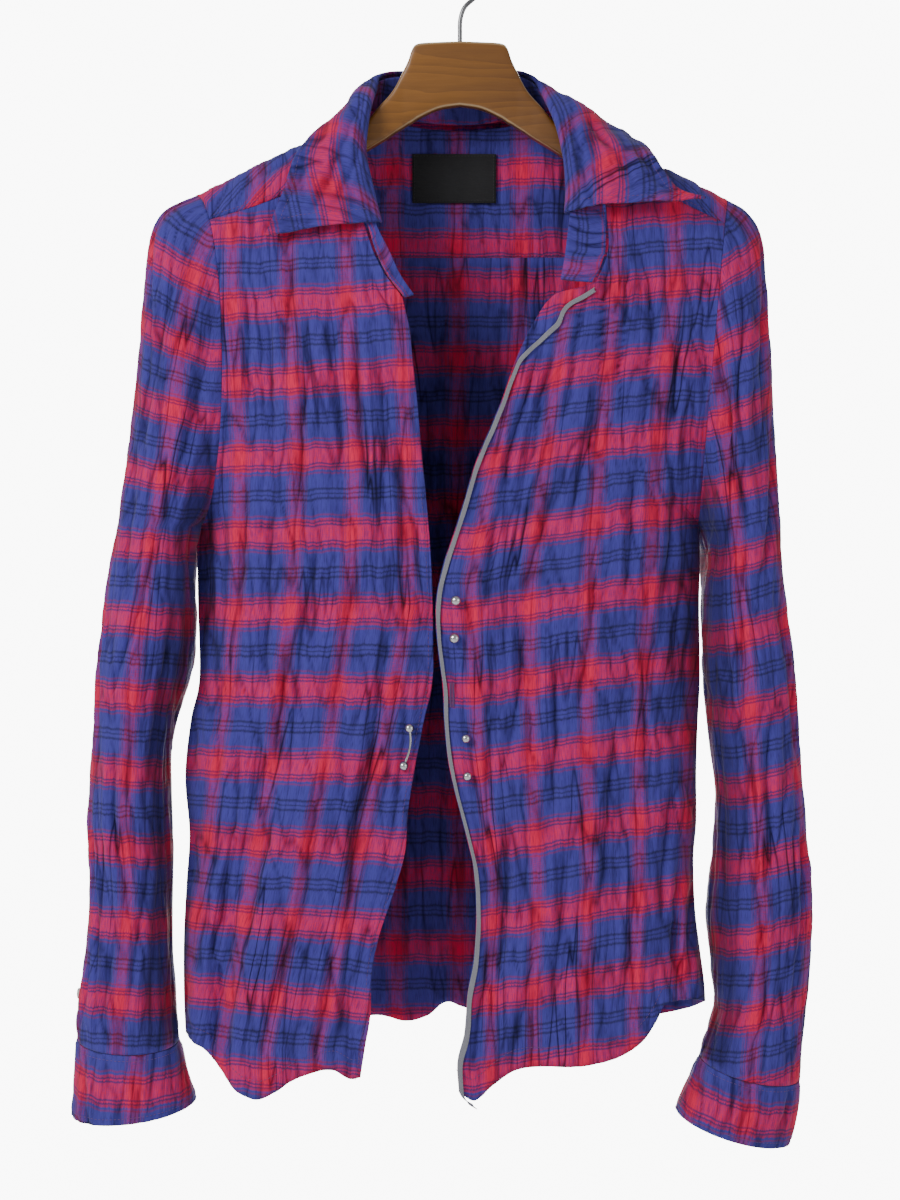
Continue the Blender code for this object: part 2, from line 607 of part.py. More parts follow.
body_pieces = [yoke, front_right, front_left, back, sleeve_right, sleeve_left, cuff_right, cuff_left]
share_seams(body_pieces)
draw_in(yoke, top=True, bottom=True)
draw_in(front_right, top=True, left=True)
draw_in(front_left, top=True, left=True)
draw_in(back, top=True, left=True, right=True)
draw_in(sleeve_right, bottom=True)
draw_in(sleeve_left, bottom=True)
draw_in(cuff_right, top=True)
draw_in(cuff_left, top=True)
clear = SEAM_GAP + UNDERARM_EASE * ((1 - np.cos(angles)) / 2) ** 4
sleeve_right.grid[0, :, 0] -= clear
sleeve_left.grid[0, :, 0] += clear

stand = Piece("collar_stand", stand_grid(26, 3), COLLAR_CLOTH, VIOLET)
leaf = Piece("collar_leaf", leaf_grid(26, LEAF_PLACES), COLLAR_CLOTH, RED)
solids = {piece.name: build(piece) for piece in body_pieces + [stand, leaf]}


# ---------------------------------------------------------------- the grey tape and the label

def depth_at(grid, x, z):
    """Y of a panel's outer face at (x, z), from the triangles of its grid."""
    a, b = grid[:-1, :-1].reshape(-1, 3), grid[:-1, 1:].reshape(-1, 3)
    c, d = grid[1:, 1:].reshape(-1, 3), grid[1:, :-1].reshape(-1, 3)
    p, q, r = np.vstack([a, a]), np.vstack([b, c]), np.vstack([c, d])
    u, v = (q - p)[:, [0, 2]], (r - p)[:, [0, 2]]
    w = np.array([x, z]) - p[:, [0, 2]]
    area = u[:, 0] * v[:, 1] - u[:, 1] * v[:, 0]
    area = np.where(np.abs(area) < 1e-9, 1e-9, area)
    f = (w[:, 0] * v[:, 1] - w[:, 1] * v[:, 0]) / area
    g = (u[:, 0] * w[:, 1] - u[:, 1] * w[:, 0]) / area
    best = np.argmin(np.maximum.reduce([-f, -g, f + g - 1]))
    return float(p[best, 1] + f[best] * (q - p)[best, 1] + g[best] * (r - p)[best, 1])


TAPE_WIDTH, TAPE_WALL, TAPE_LIFT = 4.2, 1.1, 0.8
# How far the tape's middle lies in from the left front's free edge, by the row of that front.
TAPE_ROWS = [5, 5.5, 6, 6.5, 7, 7.5]
TAPE_INSETS = [4, 9, 17, 11, 3.5, 2.5]


def tape_grid(panel, rows):
    """Two points across the tape for each row, on the panel's own rows, moved out from it."""
    inward = panel[:, -3] - panel[:, -1]
    inward /= np.linalg.norm(inward, axis=1, keepdims=True)
    edge = smooth(panel[:, -1], rows)
    inward = smooth(inward, rows)
    inset = np.interp(rows, TAPE_ROWS, TAPE_INSETS)[:, None]
    out = np.array([0, -(TAPE_LIFT + TAPE_WALL), 0])
    return np.stack([edge + inward * (inset + half) + out for half in (-TAPE_WIDTH / 2, TAPE_WIDTH / 2)], axis=1)


GREY, BLACK = (0.32, 0.32, 0.35), (0.016, 0.016, 0.018)
tape_rows = np.linspace(TAPE_ROWS[0] + 0.05, rows - 1.02, 44)
build(Piece("edge_tape", tape_grid(left, tape_rows), TAPE_WALL, GREY, out=(0, -1, 0), roughness=0.6))

LABEL_LEFT, LABEL_RIGHT, LABEL_TOP, LABEL_FOOT, LABEL_WALL = -34, 26, -145.5, -180.5, 0.9
label = np.array([
    [(x, depth_at(yoke.grid, x, z) - CLOTH - 2 * LABEL_WALL, z) for x in np.linspace(LABEL_LEFT, LABEL_RIGHT, 7)]
    for z in np.linspace(LABEL_TOP, LABEL_FOOT, 4)
])
build(Piece("label", label, LABEL_WALL, BLACK, out=(0, -1, 0), roughness=0.7))


# ---------------------------------------------------------------- barbells and buttons

STEEL = (0.62, 0.62, 0.64)


def turned(name, profile, place, axis, colour, roughness, metallic=0.0, sides=14):
    """A solid turned from rows of (radius, height); its first and last rows are points on its axis."""
    axis = np.asarray(axis, float) / np.linalg.norm(axis)
    aside = np.cross(axis, (0, 0, 1) if abs(axis[2]) < 0.9 else (1, 0, 0))
    aside /= np.linalg.norm(aside)
    third = np.cross(axis, aside)
    turns = np.linspace(0, 2 * math.pi, sides, endpoint=False)
    place = np.asarray(place, float)
    points = [place + axis * profile[0][1]]
    for radius, height in profile[1:-1]:
        points += [place + axis * height + radius * (aside * math.cos(a) + third * math.sin(a)) for a in turns]
    points.append(place + axis * profile[-1][1])
    last = len(points) - 1
    faces = []
    for k in range(sides):
        n = (k + 1) % sides
        faces.append((0, 1 + n, 1 + k))
        for ring in range(len(profile) - 3):
            a, b = 1 + ring * sides + k, 1 + ring * sides + n
            faces.append((a, b, b + sides, a + sides))
        faces.append((last, last - sides + k, last - sides + n))
    thing = mesh_object(name, points, faces)
    paint(thing, name, colour, roughness, metallic)
    return thing


def tube(name, points, radius, colour, roughness, metallic=0.0, resolution=2):
    curve = bpy.data.curves.new(name, "CURVE")
    curve.dimensions = "3D"
    curve.bevel_depth = radius * MM
    curve.bevel_resolution = resolution
    curve.use_fill_caps = True
    spline = curve.splines.new("POLY")
    spline.points.add(len(points) - 1)
    for spot, point in zip(spline.points, points):
        spot.co = (*(np.asarray(point) * MM), 1)
    thing = bpy.data.objects.new(name, curve)
    bpy.context.scene.collection.objects.link(thing)
    paint(thing, name, colour, roughness, metallic)
    return thing


def ball(name, place, radius):
    turns = np.linspace(0, math.pi, 8)
    profile = [(radius * math.sin(a), -radius * math.cos(a)) for a in turns]
    return turned(name, profile, place, (0, -1, 0), STEEL, 0.25, 1.0)


# A barbell: the places of its balls on the front (x, z), and the balls' radius.
Barbell = namedtuple("Barbell", "name panel top_x top_z foot_x foot_z ball")
BARBELLS_THROUGH = [
    Barbell("barbell_upper", left, -3, -466, -4, -492, 3.7),
    Barbell("barbell_lower", left, 4, -561, 5, -587, 3.2),
]
BARBELL_ON_TOP = Barbell("barbell_right", right, -35, -554, -39, -580, 3.3)
BAR, HOLE = 0.85, 1.6
BALL_LIFT = 1.0         # the balls stand this far off the cloth
BAR_DEPTH = 5           # the bar of a barbell that goes through the cloth runs this far behind its face
cutters = []


def hole_through(panel_name, x, y, z):
    """A cutter for a small hole through a front, left out of the model."""
    cutter = turned(f"cutter_{len(cutters)}", [(0, -6), (HOLE, -6), (HOLE, 6), (0, 6)], (x, y, z), (0, 1, 0),
                    STEEL, 0.5, sides=12)
    cutter.hide_render = True
    cutter.display_type = "WIRE"
    cutters.append(cutter)
    cut = solids[panel_name].modifiers.new("hole", "BOOLEAN")
    cut.operation = "DIFFERENCE"
    cut.solver = "EXACT"
    cut.object = cutter


for row in BARBELLS_THROUGH:
    ends = [(row.top_x, row.top_z), (row.foot_x, row.foot_z)]
    faces_y = [depth_at(row.panel, x, z) for x, z in ends]
    for part, (x, z), y in zip(("ball_top", "ball_foot"), ends, faces_y):
        ball(f"{row.name}_{part}", (x, y - BALL_LIFT - row.ball, z), row.ball)
        hole_through("front_left", x, y, z)
    (x1, z1), (x2, z2), (y1, y2) = ends[0], ends[1], faces_y
    start, stop = -BALL_LIFT + SEAM_GAP, BAR_DEPTH
    tube(f"{row.name}_bar", [
        (x1, y1 + start, z1), (x1, y1 + 0.6 * stop, z1), (x1, y1 + 0.9 * stop, z1 - 1), (x1, y1 + stop, z1 - 3),
        (x2, y2 + stop, z2 + 3), (x2, y2 + 0.9 * stop, z2 + 1), (x2, y2 + 0.6 * stop, z2), (x2, y2 + start, z2),
    ], BAR, STEEL, 0.25, 1.0)

row = BARBELL_ON_TOP
top_y = depth_at(row.panel, row.top_x, row.top_z) - BALL_LIFT - row.ball
foot_y = depth_at(row.panel, row.foot_x, row.foot_z) - BALL_LIFT - row.ball
ball("barbell_right_ball_top", (row.top_x, top_y, row.top_z), row.ball)
ball("barbell_right_ball_foot", (row.foot_x, foot_y, row.foot_z), row.ball)
clear_of_ball = row.ball + SEAM_GAP
bow = [(0.0, 0.0), (1.6, 0.25), (2.4, 0.5), (1.6, 0.75), (0.0, 1.0)]
start_z, stop_z = row.top_z - clear_of_ball, row.foot_z + clear_of_ball
tube("barbell_right_bar", [
    (row.top_x + (row.foot_x - row.top_x) * share + out, top_y + (foot_y - top_y) * share,
     start_z + (stop_z - start_z) * share)
    for out, share in bow
], BAR, STEEL, 0.25, 1.0)

# A small button closes the slit above each cuff, and another one the cuff: row in the ring table and angle.
Button = namedtuple("Button", "name rings place angle radius")
BUTTONS = [
    Button("sleeve_button_right", SLEEVE_RIGHT, 12.7, -10, 4.0),
    Button("sleeve_button_left", SLEEVE_LEFT, 12.6, -40, 4.0),
    Button("cuff_button_right", CUFF_RIGHT, 1.0, -50, 5.0),
    Button("cuff_button_left", CUFF_LEFT, 1.0, -50, 5.0),
]
BUTTON_WALL, BUTTON_LIFT = 2.2, 0.9
for row in BUTTONS:
    ring = Ring(*smooth(row.rings, [row.place])[0])
    angle = math.radians(row.angle)
    place, ahead, behind_it = ring_points(ring, np.array([angle, angle + 0.05, angle - 0.05]))
    out = np.cross(ahead - behind_it, (0, 0, 1))
    out *= np.sign(out[0] * ring.outer_x)
    out /= np.linalg.norm(out)
    profile = [(0, 0), (row.radius - 0.4, 0), (row.radius, 0.5), (row.radius, BUTTON_WALL - 0.5),
               (row.radius - 0.6, BUTTON_WALL), (row.radius - 1.6, BUTTON_WALL - 0.5), (0, BUTTON_WALL - 0.5)]
    turned(row.name, profile, place + out * BUTTON_LIFT, out, (0.75, 0.73, 0.68), 0.35)


# ---------------------------------------------------------------- hanger

# Half of the wooden body, from its middle out: reach along X, top, foot, thickness.
Wood = namedtuple("Wood", "reach top foot thick")
WOOD = [
    Wood(0, -71.5, -117, 14), Wood(15, -72, -119.5, 14), Wood(29, -73, -126, 14), Wood(33.5, -76.5, -129, 14),
    Wood(36.5, -85, -130.5, 14), Wood(40.5, -93.5, -133, 14), Wood(45.5, -103.5, -136, 14.5),
    Wood(50.5, -110.5, -139.5, 15), Wood(57, -117.5, -143.5, 16), Wood(66, -127.5, -149, 17),
    Wood(80, -139, -158.5, 18), Wood(100, -150, -170, 20), Wood(125, -161, -184, 23),
    Wood(150, -172, -196, 25), Wood(168, -181, -204, 24), Wood(177, -187, -203, 20), Wood(181, -191, -199, 12),
]
WOOD_SIDES = 12
WOOD_SQUARE = 5.0       # how square the section is: 2 would be an oval
WIRE = 1.65
HOOK_INSIDE = 21        # radius inside the hook's bend
HOLE_FOOT = -84


def wood_section(reach, top, foot, thick, square):
    turns = np.linspace(0, 2 * math.pi, WOOD_SIDES, endpoint=False) + math.pi / WOOD_SIDES
    cos, sin = np.cos(turns), np.sin(turns)
    y = np.sign(cos) * np.abs(cos) ** (2 / square) * thick / 2
    z = (top + foot) / 2 + np.sign(sin) * np.abs(sin) ** (2 / square) * (top - foot) / 2
    return np.stack([np.full(WOOD_SIDES, reach), y, z], axis=1)


sections = [Wood(-row.reach, *row[1:]) for row in reversed(WOOD[1:])] + WOOD
points = np.vstack([wood_section(*row, WOOD_SQUARE if abs(row.reach) < 60 else 3.0) for row in sections])
wood_faces = [tuple(range(WOOD_SIDES)), tuple(range(len(points) - 1, len(points) - 1 - WOOD_SIDES, -1))]
for ring in range(len(sections) - 1):
    for k in range(WOOD_SIDES):
        a, b = ring * WOOD_SIDES + k, ring * WOOD_SIDES + (k + 1) % WOOD_SIDES
        wood_faces.append((b, a, a + WOOD_SIDES, b + WOOD_SIDES))
wood = mesh_object("hanger_body", points, wood_faces)
paint(wood, "hanger_body", (0.26, 0.11, 0.03), 0.45)
socket = turned("cutter_socket", [(0, HOLE_FOOT), (WIRE + SEAM_GAP, HOLE_FOOT), (WIRE + SEAM_GAP, -60), (0, -60)],
                (0, 0, 0), (0, 0, 1), STEEL, 0.5, sides=16)
socket.hide_render = True
socket.display_type = "WIRE"
drill = wood.modifiers.new("socket", "BOOLEAN")
drill.operation = "DIFFERENCE"
drill.solver = "EXACT"
drill.object = socket

# The hook: up out of the wood, round under the rail's far side, over the top and down to its tip.
HOOK_RADIUS = HOOK_INSIDE + WIRE
bend = np.radians(np.linspace(-38, 200, 22))
stem = [(0, 0, HOLE_FOOT + SEAM_GAP), (0, 0, -66), (0.3, 0, -56), (3, 0, -47.5), (9, 0, -41.5)]
arc = [(HOOK_RADIUS * math.cos(a), 0, -HOOK_INSIDE + HOOK_RADIUS * math.sin(a)) for a in bend]
tube("hanger_hook", stem + arc, WIRE, (0.25, 0.25, 0.26), 0.3, 1.0, resolution=3)
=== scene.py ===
"""The looks of a crumpled check shirt, worn open, on a thick wooden hanger.

Sizes are in millimetres and MM turns them into metres when a mesh is made. +Z is up, X runs to the wearer's left
and the fronts face -Y. Every piece of cloth is a thin shell on its solid's form.
"""

from collections import namedtuple
import math

import bpy
import numpy as np
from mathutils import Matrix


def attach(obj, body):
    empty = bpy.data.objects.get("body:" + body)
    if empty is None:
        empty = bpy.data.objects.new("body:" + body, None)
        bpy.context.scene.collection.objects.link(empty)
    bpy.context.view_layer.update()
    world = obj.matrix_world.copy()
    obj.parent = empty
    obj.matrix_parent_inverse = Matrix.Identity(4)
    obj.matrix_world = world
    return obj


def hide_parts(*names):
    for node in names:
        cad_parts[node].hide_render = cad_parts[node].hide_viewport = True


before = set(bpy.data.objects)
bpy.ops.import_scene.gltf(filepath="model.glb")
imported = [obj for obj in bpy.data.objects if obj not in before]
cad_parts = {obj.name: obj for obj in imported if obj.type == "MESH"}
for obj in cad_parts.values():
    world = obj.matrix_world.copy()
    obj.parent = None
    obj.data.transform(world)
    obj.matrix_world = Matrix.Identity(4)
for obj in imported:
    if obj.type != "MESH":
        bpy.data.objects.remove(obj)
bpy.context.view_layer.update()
MM = 0.001


# ---------------------------------------------------------------- sleeves, and the cloth they are cut from
# A long sleeve is one tube of brushed check cotton, sewn up along its underside and set into the armhole. The cloth
# has been washed and dried twisted, so that it keeps long thin creases along the warp with puffs between them.

# A ring round a sleeve: its outer point (x, z), its inner point (x, z), half its depth, where its middle lies in Y,
# and how far its front and its back lean towards the body. Row 0 is the armhole.
Ring = namedtuple("Ring", "outer_x outer_z inner_x inner_z depth middle front_lean back_lean")
SEAM_GAP = 0.3
YOKE_FRONT_ANGLE = math.radians(33)
YOKE_BACK_ANGLE = math.radians(50)
ARMHOLE_HEIGHT, ARMHOLE_DEPTH = 117, 36     # half of each


def smooth(rows, places):
    """Points on the smooth curve through the rows, at places counted in rows."""
    rows = np.asarray(rows, float)
    last = len(rows) - 1
    places = np.clip(np.asarray(places, float), 0, last)
    start = np.minimum(places.astype(int), last - 1)
    f = (places - start)[:, None]
    padded = np.vstack([2 * rows[0] - rows[1], rows, 2 * rows[-1] - rows[-2]])
    a, b, c, d = (padded[start + k] for k in range(4))
    return 0.5 * (2 * b + (c - a) * f + (2 * a - 5 * b + 4 * c - d) * f**2 + (3 * b - a - 3 * c + d) * f**3)


def evenly(rows, cells, steps=24):
    """The smooth curve through the rows as cells + 1 points, equally far apart."""
    fine = smooth(rows, np.linspace(0, len(rows) - 1, (len(rows) - 1) * steps + 1))
    length = np.concatenate([[0], np.cumsum(np.linalg.norm(np.diff(fine, axis=0), axis=1))])
    wanted = np.linspace(0, length[-1], cells + 1)
    return np.stack([np.interp(wanted, length, fine[:, k]) for k in range(fine.shape[1])], axis=1)


def joined(*stretches):
    """Stretches of one curve, each starting where the last one ends."""
    return np.vstack([stretches[0]] + [stretch[1:] for stretch in stretches[1:]])


def patch(top, bottom, left, right, hug_left=1, hug_right=1):
    """A grid of points stretched between four edges, row 0 along the top.

    The higher hug_left and hug_right are, the sooner the depth (Y) forgets what the side edges do.
    """
    t = np.linspace(0, 1, len(left))[:, None, None]
    s = np.linspace(0, 1, len(top))[None, :, None]
    from_left = np.concatenate([1 - s, (1 - s) ** hug_left, 1 - s], axis=2)
    from_right = np.concatenate([s, s**hug_right, s], axis=2)
    grid = (1 - t) * top[None] + t * bottom[None]
    grid = grid + from_left * (left[:, None] - (1 - t) * top[0] - t * bottom[0])
    return grid + from_right * (right[:, None] - (1 - t) * top[-1] - t * bottom[-1])


def belly(grid, depths, profile):
    """Pushes the grid out along Y: depths down its rows, profile across its columns."""
    rows, columns = grid.shape[:2]
    down = smooth(np.array(depths, float)[:, None], np.linspace(0, len(depths) - 1, rows))[:, 0]
    grid[:, :, 1] += down[:, None] * profile(np.linspace(0, 1, columns))[None]
    return grid


def length_along(grid, axis):
    """Distance along the grid's rows (axis 1) or columns (axis 0), from the first point of each."""
    steps = np.linalg.norm(np.diff(grid, axis=axis), axis=2)
    pad = [(0, 0), (0, 0)]
    pad[axis] = (1, 0)
    return np.pad(np.cumsum(steps, axis=axis), pad)


def eased(x):
    x = np.clip(x, 0, 1)
    return x * x * (3 - 2 * x)


def ripple(across, along, seed):
    """Smooth random hills and hollows between -1 and 1, about one to a unit."""
    turns = np.random.RandomState(seed).uniform(0, 2 * math.pi, (64, 64))
    i, j = np.floor(across).astype(int), np.floor(along).astype(int)
    x, y = across - i, along - j

    def corner(right, down):
        turn = turns[(i + right) % 64, (j + down) % 64]
        return np.cos(turn) * (x - right) + np.sin(turn) * (y - down)

    ease_x, ease_y = (t**3 * (t * (6 * t - 15) + 10) for t in (x, y))
    upper = corner(0, 0) + (corner(1, 0) - corner(0, 0)) * ease_x
    lower = corner(0, 1) + (corner(1, 1) - corner(0, 1)) * ease_x
    return 1.5 * (upper + (lower - upper) * ease_y)


CRINKLE = 2.2           # mm of puff to one unit of crinkle
SLIP = 0.55             # mm the check steps aside at a crease

# A listed crease: where it starts and stops, half its width and its depth. A ridge has a negative depth.
Crease = namedtuple("Crease", "top_u top_v foot_u foot_v half_width depth")


def crumple(u, v, seed, creases=(), lean=0.1, puff=1.0):
    """Height of the cloth at (u, v), how far the check has slipped along v, and where painted shade goes.

    The washed-in creases are sharp thin valleys with a puff on either side and painted shade along their bottoms;
    lean tips them all off the warp. Each listed crease is a soft trough with a low shoulder on either side and
    painted shade down its middle.
    """
    s = u + lean * v + 5 * ripple(u / 60, v / 60, seed) + 2.0 * ripple(u / 22, v / 17, seed + 1)
    t = v + 14 * ripple(u / 30, v / 75, seed + 2)
    long, short = ripple(s / 16, t / 90, seed + 3), ripple(s / 8, t / 42, seed + 4)
    fine, cross = ripple(s / 4.4, t / 24, seed + 7), ripple((s + 0.8 * t) / 28, (t - 0.8 * s) / 24, seed + 5)
    wave, patch = ripple(s / 42, t / 120, seed + 6), ripple(s / 26, t / 55, seed + 8)
    height = np.abs(long) ** 0.65 + 0.55 * np.abs(short) ** 0.7 + 0.2 * np.abs(fine) ** 0.8
    height = puff * CRINKLE * (height + 0.3 * np.abs(cross) ** 0.8 + 0.7 * wave - 0.9)
    # Painted shade along the bottoms of the washed-in creases, in patches.
    shade_mask = np.exp(-np.abs(long) / 0.05) * eased(0.75 + patch)
    shade_mask += 0.4 * np.exp(-np.abs(short) / 0.06) * eased(0.5 - patch)
    for crease in map(Crease._make, creases):
        run = np.array([crease.foot_u - crease.top_u, crease.foot_v - crease.top_v], float)
        from_u, from_v = u - crease.top_u, v - crease.top_v
        along = (from_u * run[0] + from_v * run[1]) / (run @ run)
        bow = 0.35 * crease.half_width * np.sin(4.5 * along + crease.top_u) + 1.5 * ripple(u / 14, v / 11, seed + 9)
        across = np.abs((from_u * run[1] - from_v * run[0]) / np.linalg.norm(run) + bow) / crease.half_width
        trough = np.exp(-((1.7 * across) ** 1.1)) - 0.4 * np.exp(-(((across - 1.3) / 0.6) ** 2))
        open_ends = eased(np.minimum(along, 1 - along) * 3.5 + 0.25)
        height -= crease.depth * trough * open_ends
        # Painted shade down the middle of the crease.
        shade_mask += 0.3 * crease.depth * np.exp(-across * crease.half_width / 0.7) * open_ends
    return height, SLIP * (np.tanh(6 * long) + 0.5 * np.tanh(6 * short)), shade_mask


class Value:
    """A socket in a material: + - * / ** and abs() on it add the nodes that work them out."""

    def __init__(self, finish, socket):
        self.finish, self.socket = finish, socket

    def maths(self, operation, *numbers):
        return self.finish.node("ShaderNodeMath", {"operation": operation}, dict(enumerate(numbers)))

    def __add__(self, other):
        return self.maths("ADD", self, other)

    def __sub__(self, other):
        return self.maths("SUBTRACT", self, other)

    def __rsub__(self, other):
        return self.maths("SUBTRACT", other, self)

    def __mul__(self, other):
        return self.maths("MULTIPLY", self, other)

    def __truediv__(self, other):
        return self.maths("DIVIDE", self, other)

    def __rtruediv__(self, other):
        return self.maths("DIVIDE", other, self)

    def __pow__(self, other):
        return self.maths("POWER", self, other)

    def __abs__(self):
        return self.maths("ABSOLUTE", self)

    __radd__, __rmul__ = __add__, __mul__


class Finish:
    """A material in the making. What is the same all over goes straight on the shader's sockets."""

    def __init__(self, name, constants=()):
        self.material = bpy.data.materials.new(name)
        self.material.use_nodes = True
        self.tree = self.material.node_tree
        self.shader = self.tree.nodes["Principled BSDF"]
        for socket, value in dict(constants).items():
            self.shader.inputs[socket].default_value = value

    def node(self, kind, settings=(), sockets=(), output=0):
        """Adds a node, gives it its settings and then its sockets' values or links, and returns one output."""
        node = self.tree.nodes.new(kind)
        settings = dict(settings)
        stops = settings.pop("stops", [])
        for key, value in settings.items():
            setattr(node, key, value)
        for index, (place, colour) in enumerate(stops):
            ramp = node.color_ramp
            element = ramp.elements[index] if index < 2 else ramp.elements.new(place)
            element.position, element.color = place, (*colour, 1)
        for key, value in dict(sockets).items():
            if isinstance(value, Value):
                self.tree.links.new(value.socket, node.inputs[key])
            else:
                node.inputs[key].default_value = value
        return Value(self, node.outputs[output])

    def mix(self, factor, a, b, blend="MIX"):
        """Colour b laid over colour a."""
        colours = {0: factor, 6: a, 7: b}
        colours = {k: (*c, 1) if isinstance(c, tuple) and len(c) == 3 else c for k, c in colours.items()}
        return self.node("ShaderNodeMix", {"data_type": "RGBA", "blend_type": blend}, colours, output=2)

    def noise(self, where, scale, detail=2.0, roughness=0.5):
        sockets = {"Vector": where, "Scale": scale, "Detail": detail, "Roughness": roughness}
        return self.node("ShaderNodeTexNoise", (), sockets)

    def mapped(self, where, scale):
        return self.node("ShaderNodeMapping", (), {"Vector": where, "Scale": scale})

    def bump(self, height, depth, strength=1.0, under=None):
        sockets = {"Height": height, "Distance": depth, "Strength": strength}
        if under is not None:
            sockets["Normal"] = under
        return self.node("ShaderNodeBump", (), sockets)

    def feed(self, **sockets):
        for key, value in sockets.items():
            self.tree.links.new(value.socket, self.shader.inputs[key.replace("_", " ")])
        return self.material


RED, BLUE, NAVY = (0.82, 0.018, 0.085), (0.068, 0.064, 0.36), (0.024, 0.024, 0.090)
DUSK = (0.16, 0.022, 0.12)
FADED_RED, MAUVE = (0.55, 0.025, 0.09), (0.26, 0.04, 0.18)
WEFT_REPEAT, WARP_REPEAT = 53.0, 47.5
# Colour of the threads by their distance from the middle of a red band, out to halfway to the next one.
WEFT_THREADS = [
    (0.0, RED), (4.6, RED), (5.4, DUSK), (5.8, DUSK), (6.5, RED), (6.9, RED), (7.6, DUSK), (8.0, DUSK),
    (8.7, FADED_RED), (9.6, FADED_RED), (10.4, BLUE), (11.2, BLUE), (11.8, MAUVE), (12.3, MAUVE), (13.2, BLUE),
    (21.9, BLUE), (22.9, NAVY), (23.5, NAVY), (24.6, BLUE), (25.6, BLUE), (26.5, NAVY),
]
WARP_THREADS = [
    (0.0, RED), (3.9, RED), (4.7, FADED_RED), (5.1, BLUE), (5.7, FADED_RED), (6.2, FADED_RED), (6.8, BLUE),
    (7.7, MAUVE), (8.4, MAUVE), (9.2, BLUE),
]
WEFT_SHARE = 0.72       # the weft covers this much of the face


def check_cloth(name):
    """Brushed check cotton, laid along the piece's flat cut, in metres, in its map "cut"."""
    cloth = Finish(name, {"Sheen Weight": 0.12, "Sheen Roughness": 0.45, "Sheen Tint": (0.9, 0.85, 1, 1),
                          "Specular IOR Level": 0.2})
    cut = cloth.node("ShaderNodeUVMap", {"uv_map": "cut"})
    slub = cloth.noise(cut, 900, detail=3, roughness=0.6)
    along = cloth.noise(cloth.mapped(cut, (230, 1500, 1)), 1, detail=3)
    down = cloth.noise(cloth.mapped(cut, (1300, 120, 1)), 1, detail=3)
    u = cloth.node("ShaderNodeSeparateXYZ", (), {0: cut}, output=0) + (along - 0.5) * 0.0022
    v = cloth.node("ShaderNodeSeparateXYZ", (), {0: cut}, output=1) + (down - 0.5) * 0.0026

    def threads(place, repeat, stops):
        turns = place / (repeat * MM) + 100.5
        share = turns.maths("FRACT", turns)
        stops = [(distance / (repeat / 2), colour) for distance, colour in stops]
        return cloth.node("ShaderNodeValToRGB", {"stops": stops}, {0: abs(share - 0.5) * 2})

    weft, warp = threads(v, WEFT_REPEAT, WEFT_THREADS), threads(u, WARP_REPEAT, WARP_THREADS)
    colour = cloth.mix(WEFT_SHARE + (along - 0.5) * 0.7 + (0.5 - down) * 0.9, warp, weft)
    # Single threads and the nap stand out paler or darker, down the warp more than along the weft.
    colour = cloth.mix(abs(down - 0.5) * 2.2, colour, (0.30, 0.10, 0.26), "SOFT_LIGHT")
    colour = cloth.mix((down - 0.42) * 1.4, colour, (0.02, 0.02, 0.07), "MIX")
    wear_and_highlight = cloth.noise(cut, 22, detail=3)
    colour = cloth.mix(wear_and_highlight * 0.5, colour, (0.45, 0.40, 0.48), "SOFT_LIGHT")
    # Fine creases between the modelled ones: thin pinched lines, mostly down the warp, bumped in and given painted
    # shade.
    lines = cloth.noise(cloth.mapped(cut, (80, 8, 1)), 1, detail=1.5)
    hair = cloth.noise(cloth.mapped(cut, (230, 34, 1)), 1, detail=2)
    ridge = (abs(lines - 0.5) * 5) ** 0.7
    often = cloth.noise(cloth.mapped(cut, (26, 9, 1)), 1, detail=1) - 0.35
    thin = (abs(hair - 0.5) * 5) ** 0.7
    fine_crease_shade = cloth.node("ShaderNodeMath", {"operation": "MAXIMUM"}, {0: 1 - ridge * 2.8, 1: 0.0})
    painted_shade = cloth.node("ShaderNodeAttribute", {"attribute_name": "painted_shade"}, output=2)
    # Painted shade along the fine creases, in patches.
    colour = cloth.mix(fine_crease_shade * often * 3.4, colour, (0.10, 0.07, 0.16), "MULTIPLY")
    # Painted shade in the modelled creases and in the cloth's hollows.
    colour = cloth.mix(painted_shade * 0.66, colour, (0.06, 0.045, 0.10), "MULTIPLY")
    twill = cloth.node("ShaderNodeTexWave", {"bands_direction": "DIAGONAL"}, {
        "Vector": cut, "Scale": 330, "Distortion": 1.5, "Detail": 1.0})
    normal = cloth.bump(ridge, 0.0020, 0.45)
    normal = cloth.bump(thin, 0.0006, 0.35, normal)
    normal = cloth.bump(slub, 0.0004, 0.5, normal)
    normal = cloth.bump(twill, 0.0002, 0.25, normal)
    return cloth.feed(Base_Color=colour, Roughness=slub * 0.12 + 0.82, Normal=normal)


CLOTH = check_cloth("check_cloth")
CLOTH_WALL = 0.9


